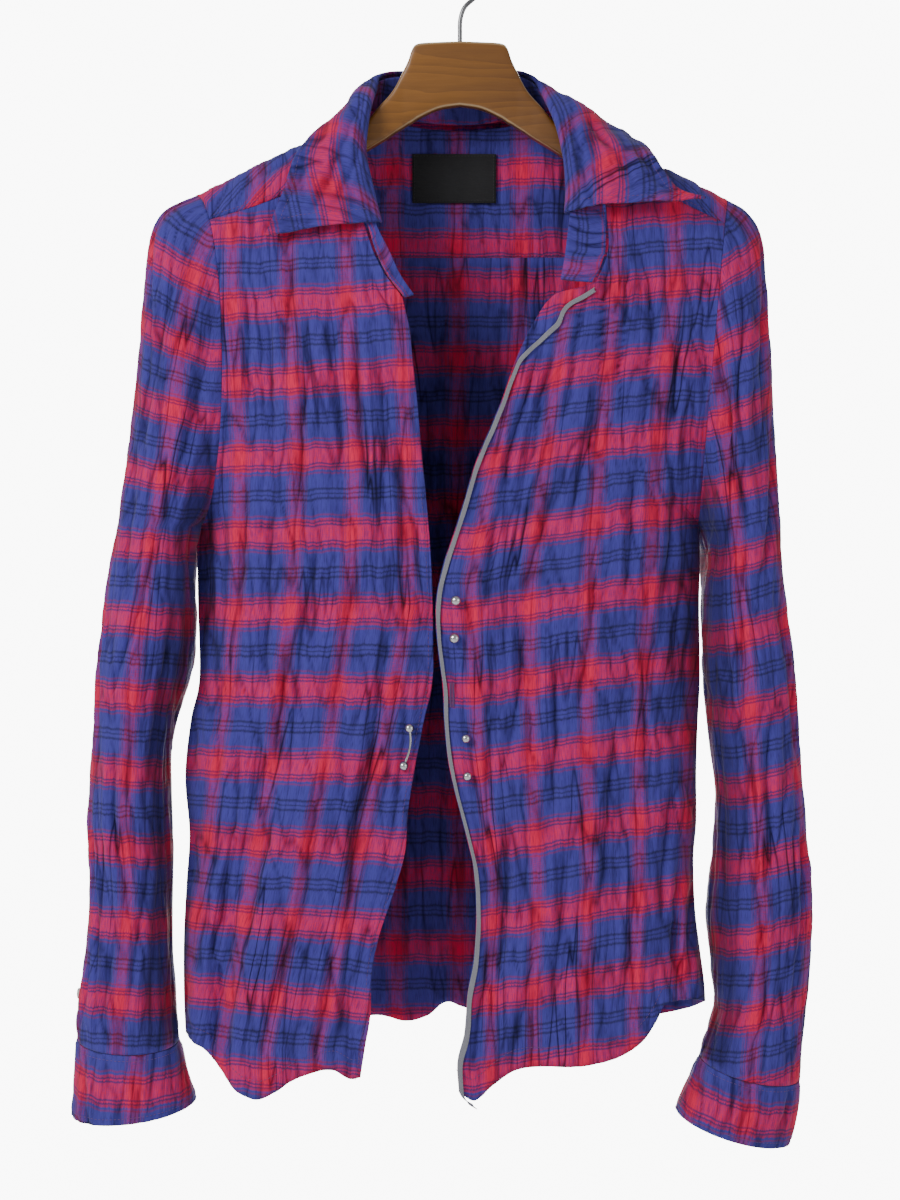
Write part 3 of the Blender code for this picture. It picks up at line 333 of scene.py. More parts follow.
def shell(name, grid, cut, wall, material, out=None, ring=False, painted_shade=None):
    """A sheet through a grid of points, its outer face there and its wall inside them. It replaces the node name.

    A ring's cut has one more column than its grid, for the far side of its seam.
    """
    rows, columns = grid.shape[:2]
    spans = columns if ring else columns - 1
    i, j = np.mgrid[0 : rows - 1, 0:spans]
    after = (j + 1) % columns
    row, below = i * columns, (i + 1) * columns
    faces = np.stack([row + j, row + after, below + after, below + j], axis=-1)
    corners = np.stack([cut[i, j], cut[i, j + 1], cut[i + 1, j + 1], cut[i + 1, j]], axis=-2)
    points = grid.reshape(-1, 3)
    faces, corners = faces.reshape(-1, 4), corners.reshape(-1, 4, 2)
    middle = points[faces].mean(axis=1)
    normals = np.cross(points[faces[:, 1]] - points[faces[:, 0]], points[faces[:, 3]] - points[faces[:, 0]])
    facing = np.asarray(out, float) if out is not None else middle - grid.mean(axis=1)[i.reshape(-1)]
    if (normals * facing).sum() < 0:
        faces, corners = faces[:, ::-1], corners[:, ::-1]
    mesh = bpy.data.meshes.new(name)
    mesh.from_pydata(points * MM, [], faces.tolist())
    mesh.uv_layers.new(name="cut").uv.foreach_set("vector", corners.reshape(-1).astype(np.float32) * MM)
    # The painted shade of the creases and hollows goes on the points, for the cloth to darken with.
    depth = np.zeros(len(points)) if painted_shade is None else painted_shade.reshape(-1)
    mesh.attributes.new("painted_shade", "FLOAT", "POINT").data.foreach_set("value", depth.astype(np.float32))
    mesh.shade_smooth()
    mesh.materials.append(material)
    piece = bpy.data.objects.new(name + "_shell", mesh)
    bpy.context.scene.collection.objects.link(piece)
    if wall:
        thick = piece.modifiers.new("wall", "SOLIDIFY")
        thick.thickness, thick.offset = wall * MM, -1
    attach(piece, "root")
    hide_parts(name)
    return piece


def face_normals(grid, out, ring=False, columns=slice(None)):
    """Unit normals at a grid's points, all on the side that out points to in the given columns."""
    across = np.roll(grid, -1, axis=1) - np.roll(grid, 1, axis=1) if ring else np.gradient(grid, axis=1)
    normals = np.cross(across, np.gradient(grid, axis=0))
    normals /= np.maximum(np.linalg.norm(normals, axis=2, keepdims=True), 1e-9)
    return normals * np.sign((normals[:, columns] * out).sum())


def crumpled(grid, normals, height, shade_mask, keep):
    """The grid moved along its normals, held where keep is 0, and the painted shade of its creases and hollows."""
    height = height * keep
    painted_shade = np.clip(shade_mask * np.sqrt(keep) + np.clip(-height / 14, 0, 0.25), 0, 1)
    return grid + normals * height[:, :, None], painted_shade


SLEEVE_RIGHT = [
    Ring(-187, -180, -186, -414, 33, 0, 21, 20),
    Ring(-207, -190, -188, -425, 38, 0, 17, 17),
    Ring(-217, -206, -189, -437, 42, 0, 13, 13),
    Ring(-222, -236, -188, -451, 44, 0, 9, 9),
    Ring(-227, -288, -187, -471, 44, 0, 5, 5),
    Ring(-233, -344, -187, -493, 43, 0, 2, 2),
    Ring(-241, -404, -190, -517, 42, -1, 0, 0),
    Ring(-250, -464, -197, -541, 41, -2, 0, 0),
    Ring(-257, -520, -203, -569, 40, -3, 0, 0),
    Ring(-259, -571, -203, -603, 39, -4, 0, 0),
    Ring(-262, -622, -202, -642, 38, -4, 0, 0),
    Ring(-260, -672, -203, -684, 37, -4, 0, 0),
    Ring(-264, -718, -202, -724, 36, -3, 0, 0),
    Ring(-269, -753, -200, -755, 35, -2, 0, 0),
    Ring(-270, -773, -198, -775, 34, -2, 0, 0),
]
SLEEVE_LEFT = [
    Ring(189, -183, 169, -413, 33, 0, 3, 20),
    Ring(204, -193, 172, -425, 38, 0, 4, 17),
    Ring(213, -211, 174, -437, 42, 0, 5, 13),
    Ring(216, -240, 172, -451, 44, 0, 5, 9),
    Ring(219, -288, 171, -471, 44, 0, 4, 5),
    Ring(222, -344, 171, -493, 43, 0, 2, 2),
    Ring(226, -404, 171.5, -517, 42, -1, 0, 0),
    Ring(230, -464, 173, -541, 41, -2, 0, 0),
    Ring(237, -520, 176, -569, 40, -3, 0, 0),
    Ring(239, -571, 180, -603, 39, -4, 0, 0),
    Ring(244, -626, 178, -642, 38, -4, 0, 0),
    Ring(248, -678, 174, -684, 37, -4, 0, 0),
    Ring(246, -723, 177, -724, 36, -3, 0, 0),
    Ring(242, -762, 179, -753, 35, -2, 0, 0),
    Ring(240, -801, 169, -786, 34, -2, 0, 0),
]
CUFF_DIP = 8            # the front of a cuff and of its seam hangs this much lower


def spread(start, stop, cells):
    """Angles from start to stop, about equally far apart along an armhole, which is much taller than deep."""
    fine = np.linspace(start, stop, 200)
    middle = (fine[1:] + fine[:-1]) / 2
    steps = np.hypot(ARMHOLE_HEIGHT * np.sin(middle), ARMHOLE_DEPTH * np.cos(middle))
    length = np.concatenate([[0], np.cumsum(steps)])
    return np.interp(np.linspace(0, length[-1], cells + 1), length, fine)


def ring_points(ring, angles, dip=0.0):
    """Points round one ring. The body is on the +X side of the right sleeve and on the -X side of the left one."""
    side = 1 if ring[0] < 0 else -1
    outer_x, outer_z, inner_x, inner_z, depth, middle, front_lean, back_lean = ring
    cos, sin = np.cos(angles), np.sin(angles)
    lean = np.where(sin > 0, front_lean, back_lean) * np.abs(sin)
    x = (outer_x + inner_x) / 2 + (outer_x - inner_x) / 2 * cos + side * lean
    z = (outer_z + inner_z) / 2 + (outer_z - inner_z) / 2 * cos - dip * np.clip(sin, 0, 1)
    return np.stack([x, middle - depth * sin, z], axis=1)


def sleeve_grid(rings, cells, angles, first_dip, last_dip):
    """Rings at even places down the table."""
    places = np.linspace(0, len(rings) - 1, cells + 1)
    rows = smooth(rings, places)
    dips = first_dip + (last_dip - first_dip) * (places / places[-1]) ** 3
    return np.array([ring_points(row, angles, dip) for row, dip in zip(rows, dips)])


SLEEVE_AROUND, SLEEVE_DOWN = 220, 150
# Creases down the sleeves: u is the distance round from the outer fold, negative at the back, and v the height.
SLEEVE_CREASES_RIGHT = [
    (12, -200, 34, -330, 5, 2.6), (48, -235, 28, -372, 6, 2.8), (70, -300, 66, -420, 6, 2.4),
    (20, -350, 44, -470, 6, 3.0), (62, -430, 36, -540, 5, 2.6), (8, -455, 24, -585, 6, 2.8),
    (86, -470, 74, -600, 6, 3.0), (40, -560, 58, -690, 6, 3.0), (14, -610, 32, -730, 5, 2.6),
    (78, -630, 62, -752, 5, 2.4), (48, -706, 38, -766, 5, 2.2), (24, -716, 16, -768, 4, 2.0),
    (-14, -240, -30, -380, 6, 2.6), (-52, -300, -36, -440, 6, 2.8), (-20, -420, -44, -560, 6, 2.8),
    (-66, -450, -58, -590, 6, 2.6), (-26, -600, -38, -730, 6, 2.8), (-70, -640, -60, -750, 5, 2.2),
]
SLEEVE_CREASES_LEFT = [
    (10, -205, 30, -322, 5, 2.6), (42, -228, 52, -352, 6, 2.6), (68, -290, 50, -410, 6, 2.6),
    (16, -340, 38, -452, 6, 3.0), (56, -425, 70, -520, 5, 2.6), (30, -470, 12, -590, 6, 2.8),
    (82, -480, 66, -612, 6, 2.8), (44, -540, 62, -668, 6, 3.0), (20, -618, 36, -742, 5, 2.8),
    (72, -650, 54, -772, 5, 2.6), (46, -730, 34, -790, 4, 2.2), (14, -738, 24, -796, 4, 2.2),
    (-16, -250, -34, -376, 6, 2.6), (-50, -310, -34, -452, 6, 2.8), (-22, -430, -46, -566, 6, 2.8),
    (-68, -460, -56, -600, 6, 2.6), (-28, -610, -40, -744, 6, 2.8), (-66, -650, -58, -768, 5, 2.2),
]
SLEEVE_DEPTH = 42       # half a sleeve from front to back
SLEEVE_EASE = 1.06      # cloth to a millimetre of sleeve, round it
SLEEVE_TUCK, TUCK_NARROWING = 0.9, 0.97     # the first ring is tucked in under the edge of the armhole
SHOULDER_DROP = 0.5     # how steeply the red bands fall towards the body by the shoulder
DROP_FOOT, DROP_REACH, DROP_WIDTH = -460, 240, 75


def sleeve(name, rings, creases, first_band, slope, seed):
    """A sleeve from its armhole to its cuff, its seam along the underside."""
    angles = np.linspace(-math.pi, math.pi, SLEEVE_AROUND + 1)
    grid = sleeve_grid(rings, SLEEVE_DOWN, angles, 0, CUFF_DIP)
    side = np.sign(rings[0].outer_x)
    grid[0] += [-SLEEVE_TUCK * side, 0, 0]
    grid[0, :, 1] *= TUCK_NARROWING
    round_it, down = length_along(grid, 1), length_along(grid, 0)
    z = grid[:, :, 2]
    fold_x = np.interp(-z, -grid[:, SLEEVE_AROUND // 2, 2], grid[:, SLEEVE_AROUND // 2, 0])
    # The far edge of the sleeve's front or back at each height: the armhole, and below it the underside.
    under = [(-rings[0].outer_z, rings[0].outer_x)] + [(-ring.inner_z, ring.inner_x) for ring in rings]
    level = (z - rings[0].outer_z + ARMHOLE_HEIGHT) / ARMHOLE_HEIGHT
    lean = np.where(angles > 0, rings[0].front_lean, rings[0].back_lean) * np.sqrt(np.clip(1 - level**2, 0, 1))
    far = np.interp(-z, *zip(*under)) - side * lean
    half = np.maximum(np.abs(far - fold_x) / (1 + np.clip(-level, 0, 1)), 1)
    turn = np.arccos(np.clip(1 - np.abs(grid[:, :, 0] - fold_x) / half, -1, 1))
    u = np.sign(angles) * turn * (half + SLEEVE_DEPTH * np.sqrt(1 - np.clip(level, 0, 1) ** 2)) / 2
    height, slip, shade_mask = crumple(u, z, seed, creases)
    from_ends, from_seam = np.minimum(down, down[-1:] - down), np.minimum(round_it, round_it[:, -1:] - round_it)
    keep = eased(from_ends / 9) * eased(from_seam / 7)
    normals = face_normals(grid[:, :-1], (side, 0, 0), ring=True, columns=SLEEVE_AROUND // 2)
    # Painted shade on the sleeve's inner side, where it turns in towards the body below the armhole.
    shade_mask += 0.9 * eased((turn - 1.8) / 0.6) * eased((-300 - z) / 50)
    points, painted_shade = crumpled(grid[:, :-1], normals, height[:, :-1], shade_mask[:, :-1], keep[:, :-1])
    drop = slope + (SHOULDER_DROP - slope) * eased((z - DROP_FOOT) / DROP_REACH)
    down_cloth = -z - drop * np.minimum(np.abs(u), DROP_WIDTH) + slip
    cut = np.stack([SLEEVE_EASE * u - first_band, down_cloth], axis=-1)
    piece = shell(name, points, cut, CLOTH_WALL, CLOTH, ring=True, painted_shade=painted_shade)
    return points


SLEEVE_POINTS_RIGHT = sleeve("sleeve_right", SLEEVE_RIGHT, SLEEVE_CREASES_RIGHT, 12, 0.05, 11)
SLEEVE_POINTS_LEFT = sleeve("sleeve_left", SLEEVE_LEFT, SLEEVE_CREASES_LEFT, 20, 0.2, 23)


# ---------------------------------------------------------------- cuffs
# Each cuff is a band of two layers with interlining, stitched round its edges and sewn to the end of the sleeve.

CUFF_RIGHT = [
    Ring(-270, -773, -198, -775, 34, -2, 0, 0),
    Ring(-272, -800, -192, -797, 35, -2, 0, 0),
    Ring(-274, -827, -186, -817, 36, -2, 0, 0),
]
CUFF_LEFT = [
    Ring(240, -801, 169, -786, 34, -2, 0, 0),
    Ring(238, -824, 160, -806, 35, -2, 0, 0),
    Ring(233, -846, 152, -824, 36, -2, 0, 0),
]
CUFF_AROUND, CUFF_DOWN = 170, 34
CUFF_WALL = 2.0
CUFF_CREASES = [
    (20, -790, 34, -838, 4, 1.6), (48, -784, 42, -826, 5, 1.4), (64, -800, 76, -842, 4, 1.8),
    (-18, -786, -26, -836, 5, 1.4), (-50, -790, -44, -832, 4, 1.4), (4, -802, -4, -846, 4, 1.0),
]


def cuff(name, rings, seed, first_band):
    angles = np.linspace(-math.pi, math.pi, CUFF_AROUND + 1)
    grid = sleeve_grid(rings, CUFF_DOWN, angles, CUFF_DIP, CUFF_DIP)
    u = length_along(grid, 1)
    u -= u[:, [CUFF_AROUND // 2]]
    down = length_along(grid, 0)
    height, slip, shade_mask = crumple(u, grid[:, :, 2], seed, CUFF_CREASES, puff=0.55)
    height += 0.5 * eased((down - 2) / 3) * eased((down[-1:] - down - 2) / 3)
    keep = eased(down / 5) * eased((np.abs(u[:, [0]]) - np.abs(u)) / 5 + 0.2)
    keep[:, [0, -1]] = 0
    out = (np.sign(rings[0].outer_x), 0, 0)
    normals = face_normals(grid[:, :-1], out, ring=True, columns=CUFF_AROUND // 2)
    points, painted_shade = crumpled(grid[:, :-1], normals, height[:, :-1], shade_mask[:, :-1], keep[:, :-1])
    points[0] += (points[1] - points[0]) * 0.25
    cut = np.stack([SLEEVE_EASE * u - first_band, down * 0.9 + 30 + slip], axis=-1)
    piece = shell(name, points, cut, CUFF_WALL, CLOTH, ring=True, painted_shade=painted_shade)
    return points


CUFF_POINTS_RIGHT = cuff("cuff_right", CUFF_RIGHT, 31, 22)
CUFF_POINTS_LEFT = cuff("cuff_left", CUFF_LEFT, 37, 14)


# ---------------------------------------------------------------- yoke
# The yoke runs over both shoulders, on the hanger, from the back seam to the front seams, and carries the neck seam
# between them. It is cut across the cloth, so its checks run on into the back.

# Across the yoke from the right armhole to the left one: its back seam (x, y), its crest over the hanger (x, y, z)
# and its last edge (x, y, z), the front seam on the shoulders and the neck seam between them.
Yoke = namedtuple("Yoke", "back_x back_y crest_x crest_y crest_z edge_x edge_y edge_z")
YOKE_BACK_Z = -221
YOKE_NECK = [
    Yoke(-84, 37, -87, 2, -134, -77, -20, -150),
    Yoke(-72, 38, -77, 2, -128, -76, -14, -138),
    Yoke(-64, 39, -71, 1, -124, -71, 1, -124),
    Yoke(-56, 39, -66, 12, -122, -66, 12, -122),
    Yoke(-44, 40, -53, 24, -123, -53, 24, -123),
    Yoke(-26, 41, -31, 32, -127, -31, 32, -127),
    Yoke(0, 41, 0, 36, -129, 0, 36, -129),
    Yoke(26, 41, 31, 32, -127, 31, 32, -127),
    Yoke(44, 40, 53, 24, -123, 53, 24, -123),
    Yoke(56, 39, 66, 12, -122, 66, 12, -122),
    Yoke(66, 39, 75, 1, -125, 75, 1, -125),
    Yoke(78, 38, 84, 2, -131, 85, -15, -140),
    Yoke(92, 37, 95, 2, -137, 92, -22, -153),
]
YOKE_SHOULDER_RIGHT = [
    Yoke(-138, 31, -153, 2, -163, -140, -25, -189),
    Yoke(-104, 35, -115, 2, -145, -106, -26, -174),
]
YOKE_SHOULDER_LEFT = [
    Yoke(112, 35, 122, 2, -149, 120, -26, -174),
    Yoke(145, 31, 156, 2, -165, 153, -25, -187),
]
YOKE_CELLS = 6


def yoke_end(ring):
    """The yoke's row at an armhole, on the sleeve's first ring."""
    back, crest, edge = ring_points(ring, np.array([-YOKE_BACK_ANGLE, 0, YOKE_FRONT_ANGLE]))
    return Yoke(back[0], back[1], *crest, *edge)


def yoke_section(row, cells):
    """From the back seam, up a quarter of an oval to the crest and down another to the last edge."""
    row = Yoke(*row)
    turn = np.linspace(0, math.pi / 2, 25)[:, None]
    back = np.array([row.back_x, row.back_y, YOKE_BACK_Z])
    crest = np.array([row.crest_x, row.crest_y, row.crest_z])
    edge = np.array([row.edge_x, row.edge_y, row.edge_z])
    sweep = np.hstack([np.sin(turn), np.sin(turn), 1 - np.cos(turn)])
    rise = (crest + (back - crest) * sweep)[::-1]
    fall = crest + (edge - crest) * sweep
    line = joined(rise, fall) if np.linalg.norm(edge - crest) > 1 else rise
    length = np.concatenate([[0], np.cumsum(np.linalg.norm(np.diff(line, axis=0), axis=1))])
    wanted = np.linspace(0, length[-1], cells + 1)
    return np.stack([np.interp(wanted, length, line[:, k]) for k in range(3)], axis=1)


def yoke_grid(shoulder_cells, neck_cells, cells):
    """Columns from the right armhole to the left one, rows from the back seam to the last edge."""
    angles = np.linspace(-YOKE_BACK_ANGLE, YOKE_FRONT_ANGLE, cells + 1)
    rows = [yoke_end(SLEEVE_RIGHT[0])] + YOKE_SHOULDER_RIGHT + YOKE_NECK + YOKE_SHOULDER_LEFT
    rows.append(yoke_end(SLEEVE_LEFT[0]))
    corner = len(YOKE_SHOULDER_RIGHT) + 1
    far = corner + len(YOKE_NECK) - 1
    places = joined(
        np.linspace(0, corner, shoulder_cells + 1)[:, None],
        np.linspace(corner, far, neck_cells + 1)[:, None],
        np.linspace(far, len(rows) - 1, shoulder_cells + 1)[:, None],
    )[:, 0]
    grid = np.array([yoke_section(row, cells) for row in smooth(rows, places)]).transpose(1, 0, 2)
    grid[:, 0] = ring_points(SLEEVE_RIGHT[0], angles)
    grid[:, -1] = ring_points(SLEEVE_LEFT[0], angles)
    return grid


ACROSS = 20             # fine columns to a column of a front's solid
YOKE_ACROSS, YOKE_DOWN = 120, 36    # columns over each shoulder and over the neck, and rows
YOKE_CREASES = [
    (-150, -176, -112, -150, 5, 1.6), (-128, -196, -104, -160, 5, 1.5), (-168, -204, -140, -184, 5, 1.4),
    (118, -160, 142, -182, 5, 1.6), (128, -150, 160, -170, 5, 1.4), (150, -196, 168, -186, 4, 1.2),
]


grid = yoke_grid(YOKE_ACROSS, YOKE_ACROSS, YOKE_DOWN)
x, up, across = grid[:, :, 0], length_along(grid, 0), length_along(grid, 1)
height, slip, shade_mask = crumple(x, grid[:, :, 2], 41, YOKE_CREASES, lean=0.05, puff=0.7)
keep = eased(np.minimum(up, up[-1:] - up) / 7) * eased(np.minimum(across, across[:, -1:] - across) / 8)
points, painted_shade = crumpled(grid, face_normals(grid, (0, 0, 1)), height, shade_mask, keep)
cut = np.stack([x * 1.02 + 2, 222 - up + slip], axis=-1)
YOKE_POINTS = points
yoke = shell("yoke", points, cut, CLOTH_WALL, CLOTH, out=(0, 0.3, 1), painted_shade=painted_shade)


# ---------------------------------------------------------------- fronts
# Two fronts hang open from the yoke. The left one has a grey tape along its free edge, the right one's edge is
# turned under; both hems rise at the side seams. Their checks follow the cloth as it is drawn to the edges.

Point = namedtuple("Point", "x y z")

NECK_EDGE_RIGHT = [
    Point(-77, -20, -150), Point(-76, -26, -167), Point(-72, -31, -187), Point(-66, -36, -206),
    Point(-60, -39, -224), Point(-52, -43, -240), Point(-40, -47, -256),
]
NECK_EDGE_LEFT = [
    Point(92, -22, -153), Point(97, -28, -171), Point(101, -33, -190), Point(103, -38, -208),
    Point(103, -41, -221), Point(100, -43, -233), Point(94, -45, -246),
]
FREE_EDGE_RIGHT = [
    Point(-40, -47, -256), Point(-35, -48, -277), Point(-33, -49, -297), Point(-30, -50, -324),
    Point(-26, -50, -368), Point(-21, -49, -425), Point(-19, -49, -470), Point(-19, -49, -521),
    Point(-25, -49, -549), Point(-31, -49, -580), Point(-36, -49, -612), Point(-38, -49, -640),
    Point(-46, -49, -668), Point(-56, -49, -698), Point(-61, -48, -724), Point(-62, -47, -752),
    Point(-66, -46, -777), Point(-69, -46, -796),
]
FREE_EDGE_LEFT = [
    Point(94, -45, -246), Point(80, -47, -250), Point(66, -48, -254), Point(56, -49, -265),
    Point(44, -50, -287), Point(36, -50, -306), Point(29, -51, -327), Point(20, -51, -348),
    Point(10, -52, -372), Point(3, -52, -396), Point(-4, -53, -418), Point(-11, -53, -439),
    Point(-16, -53, -460), Point(-17, -53, -480), Point(-15, -53, -503), Point(-12, -53, -526),
    Point(-11, -52, -552), Point(-7, -52, -584), Point(3, -51, -624), Point(9, -50, -650),
    Point(11, -49, -680), Point(10, -48, -708), Point(5, -47, -738), Point(3, -46, -764),
    Point(-2, -46, -785), Point(-1, -46, -806),
]
SIDE_RIGHT = [
    Point(-186, 0, -414), Point(-185.5, 0, -440), Point(-185, 0, -470), Point(-184, 0, -521),
    Point(-190, 0, -550), Point(-194, 0, -590), Point(-191, 0, -630), Point(-193, 0, -664),
    Point(-195, 0, -704), Point(-195, 0, -742), Point(-194, 0, -768),
]
SIDE_LEFT = [
    Point(169, 0, -413), Point(169.5, 0, -440), Point(169, 0, -470), Point(169.5, 0, -521),
    Point(168, 0, -552), Point(167, 0, -586), Point(167, 0, -622), Point(165, 0, -647),
    Point(166, 0, -682), Point(169, 0, -708), Point(172, -4, -732), Point(173, -6, -748),
]
HEM_RIGHT = [
    Point(-194, 0, -768), Point(-187, -22, -774), Point(-177, -34, -779), Point(-166, -40, -791),
    Point(-157, -44, -804), Point(-142, -47, -811), Point(-128, -48, -806), Point(-116, -48, -798),
    Point(-100, -48, -792), Point(-88, -47, -791), Point(-77, -46, -797), Point(-69, -46, -796),
]
HEM_LEFT = [
    Point(173, -6, -748), Point(167, -24, -745), Point(158, -34, -743), Point(148, -40, -744),
    Point(141, -42, -747), Point(134, -44, -761), Point(123, -46, -774), Point(106, -48, -783),
    Point(82, -49, -788), Point(56, -49, -788), Point(38, -48, -791), Point(22, -47, -802),
    Point(10, -46, -812), Point(-1, -46, -806),
]
FRONT_BELLY = [0, -4, -5, -4, -2, 0]
SIDE_HUG = 6            # the panels round off into their side seams over about a fifth of their width
ARMHOLE_CELLS = 8
SIDE_CELLS = 12
FRONT_CELLS = 10
NECK_ROWS = 5


def front_grid(ring, side, hem, neck_edge, free_edge, yoke_edge, cells):
    """A front between the yoke seam, the armhole and side seam, the hem, and its neck and free edge."""
    armhole_cells, side_cells, neck_rows, columns = cells
    armhole = ring_points(ring, spread(YOKE_FRONT_ANGLE, math.pi, armhole_cells))
    left = joined(armhole, evenly(side, side_cells))
    right = joined(
        evenly(neck_edge, neck_rows), evenly(free_edge, armhole_cells + side_cells - neck_rows)
    )
    grid = patch(yoke_edge, evenly(hem, columns), left, right, hug_left=SIDE_HUG)
    return belly(grid, FRONT_BELLY, lambda s: 4 * s * (1 - s))


def press(grid, folds, away, fade):
    """Moves the grid's points in along Y beside each fold's line; fade keeps the seams where they are."""
    for fold in folds:
        top, foot = np.array([fold.top_x, fold.top_z]), np.array([fold.foot_x, fold.foot_z])
        run = foot - top
        spot = grid[:, :, [0, 2]] - top
        along = (spot @ run) / (run @ run)
        across = np.abs(spot[:, :, 0] * run[1] - spot[:, :, 1] * run[0]) / np.linalg.norm(run)
        ends = np.clip(np.minimum(along, 1 - along) * 5 + 0.6, 0, 1)
        grid[:, :, 1] += away * fold.depth * np.exp(-((across / fold.half_width) ** 2)) * ends * fade
    return grid


def seam_fade(rows, columns, both_sides):
    """0 at the top seam and the side seams, 1 inside the panel and along its free edges."""
    down = np.clip(np.linspace(0, 1, rows) * 8, 0, 1)[:, None]
    s = np.linspace(0, 1, columns)[None]
    across = np.clip(np.minimum(s, 1 - s) * 8, 0, 1) if both_sides else np.clip(s * 6, 0, 1)
    return down * across


FRONT_DOWN = 8          # fine rows to a row of the solid
# The largest folds and the centre pleat: troughs pressed into a panel along a line from its top to its foot.
Fold = namedtuple("Fold", "top_x top_z foot_x foot_z half_width depth")
FOLDS_FRONT_RIGHT = [
    Fold(-137, -575, -135, -612, 8, 6),
    Fold(-146, -632, -166, -722, 11, 11),
    Fold(-166, -722, -168, -775, 10, 13),
    Fold(-98, -470, -122, -590, 10, 4),
    Fold(-50, -520, -70, -680, 10, 4),
    Fold(-140, -260, -132, -420, 12, 4),
    Fold(-84, -250, -80, -420, 12, 4),
]
FOLDS_FRONT_LEFT = [
    Fold(60, -300, 30, -420, 10, 4),
    Fold(110, -260, 96, -430, 12, 4),
    Fold(40, -470, 62, -640, 10, 4),
    Fold(120, -520, 108, -690, 11, 4),
    Fold(150, -690, 156, -738, 9, 6),
    Fold(30, -640, 22, -770, 10, 4),
]
UNDER_YOKE = np.array([0, 1.0, 1.4])    # a front's top edge is tucked in and up, under the yoke's
# Creases of the fronts, by place on the wearer: u is x and v is z.
CREASES_RIGHT = [
    (-151, -236, -146, -342, 4, 2.4), (-138, -262, -128, -352, 5, 2.6), (-118, -222, -122, -318, 5, 2.4),
    (-104, -300, -112, -402, 5, 3.0), (-90, -262, -82, -372, 4, 2.4), (-72, -272, -66, -400, 5, 3.0),
    (-56, -300, -50, -420, 4, 2.8), (-44, -350, -38, -470, 4, 2.6), (-146, -380, -158, -470, 5, 2.4),
    (-128, -400, -138, -520, 6, 3.2), (-98, -420, -116, -552, 5, 3.4), (-74, -440, -88, -560, 5, 2.8),
    (-48, -480, -62, -590, 5, 2.8), (-34, -540, -50, -640, 4, 2.4), (-110, -478, -132, -584, 6, 4.5),
    (-166, -520, -172, -600, 5, 2.4), (-152, -560, -160, -640, 5, 2.6), (-92, -570, -110, -690, 5, 3.2),
    (-60, -560, -80, -690, 5, 3.2), (-130, -610, -148, -700, 6, 3.2), (-118, -690, -136, -780, 5, 3.0),
    (-88, -700, -100, -786, 5, 3.0), (-72, -680, -84, -770, 4, 2.4), (-158, -640, -174, -720, 5, 3.0),
]
CREASES_LEFT = [
    (118, -232, 108, -318, 4, 3.0), (104, -228, 98, -300, 4, 3.2), (86, -262, 70, -340, 4, 2.8),
    (132, -240, 128, -362, 5, 2.8), (152, -262, 148, -360, 5, 2.4), (66, -290, 44, -380, 5, 3.2),
    (52, -300, 30, -392, 4, 3.0), (96, -330, 76, -420, 5, 2.8), (124, -370, 112, -470, 5, 2.8),
    (150, -372, 142, -470, 5, 2.6), (64, -384, 44, -470, 5, 3.0), (28, -400, 14, -480, 4, 2.6),
    (94, -440, 82, -540, 5, 3.0), (44, -480, 34, -580, 5, 3.0), (134, -480, 128, -590, 5, 3.0),
    (68, -500, 60, -620, 5, 3.0), (22, -520, 20, -610, 4, 2.4), (110, -560, 98, -670, 5, 3.0),
    (146, -590, 142, -690, 5, 3.0), (36, -620, 24, -730, 5, 3.2), (74, -630, 62, -740, 5, 3.0),
    (124, -650, 112, -740, 5, 3.0), (154, -650, 148, -726, 4, 3.2), (166, -660, 160, -734, 4, 3.0),
    (50, -700, 38, -780, 5, 3.0), (92, -700, 84, -780, 5, 2.6), (20, -700, 10, -790, 4, 2.8),
]
# Where the red warp bands run: their x at a height z. Counted from the free edge to the side.
Bands = namedtuple("Bands", "z first second third fourth")
BANDS_RIGHT = [
    Bands(-256, -42, -79, -120, -159), Bands(-363, -37, -72, -112, -153), Bands(-469, -35, -77, -117, -156),
    Bands(-572, -55, -92, -129, -168), Bands(-670, -76, -113, -147, -182), Bands(-776, -99, -134, -167, -199),
]
BANDS_LEFT = [
    Bands(-242, 45, 77, 108, 150), Bands(-347, 29, 61, 98, 137), Bands(-453, 7, 48, 89, 132),
    Bands(-558, 12, 48, 88, 124), Bands(-659, 24, 53, 89, 124), Bands(-749, 21, 50, 86, 120),
]
# The height of a red weft band near the side, and how far it has dropped by the free edge.
Weft = namedtuple("Weft", "z drop")
WEFT_RIGHT = [
    Weft(-209, -10), Weft(-312, -6), Weft(-419, -3), Weft(-522, 1), Weft(-626, 2), Weft(-670, 8), Weft(-764, 11),
]
WEFT_LEFT = [Weft(-244, 24), Weft(-402, 22), Weft(-560, 18), Weft(-663, 24), Weft(-757, 22)]


def warp_place(x, z, bands):
    """Place across the cloth, in millimetres, from the bands on either side; a band is a whole repeat."""
    table = np.array(bands, float)[::-1]
    lines = [np.interp(z, table[:, 0], table[:, k]) for k in range(1, 5)]
    lines = [2 * lines[0] - lines[1]] + lines + [2 * lines[-1] - lines[-2]]
    place = np.zeros_like(x)
    for k in range(5):
        share = (x - lines[k]) / (lines[k + 1] - lines[k])
        first, last = k == 0, k == 4
        inside = ((share >= 0) | first) & ((share < 1) | last)
        place = np.where(inside, (k + share) * WARP_REPEAT, place)
    return place


def weft_place(x, z, side_x, edge_x, table, first_band):
    """Place down the cloth, in millimetres, counted so that first_band lies on a whole repeat."""
    table = np.array(table, float)[::-1]
    share = np.clip((x - side_x) / (edge_x - side_x), 0, 1) ** 1.4
    return first_band - (z + np.interp(z, table[:, 0], table[:, 1]) * share)


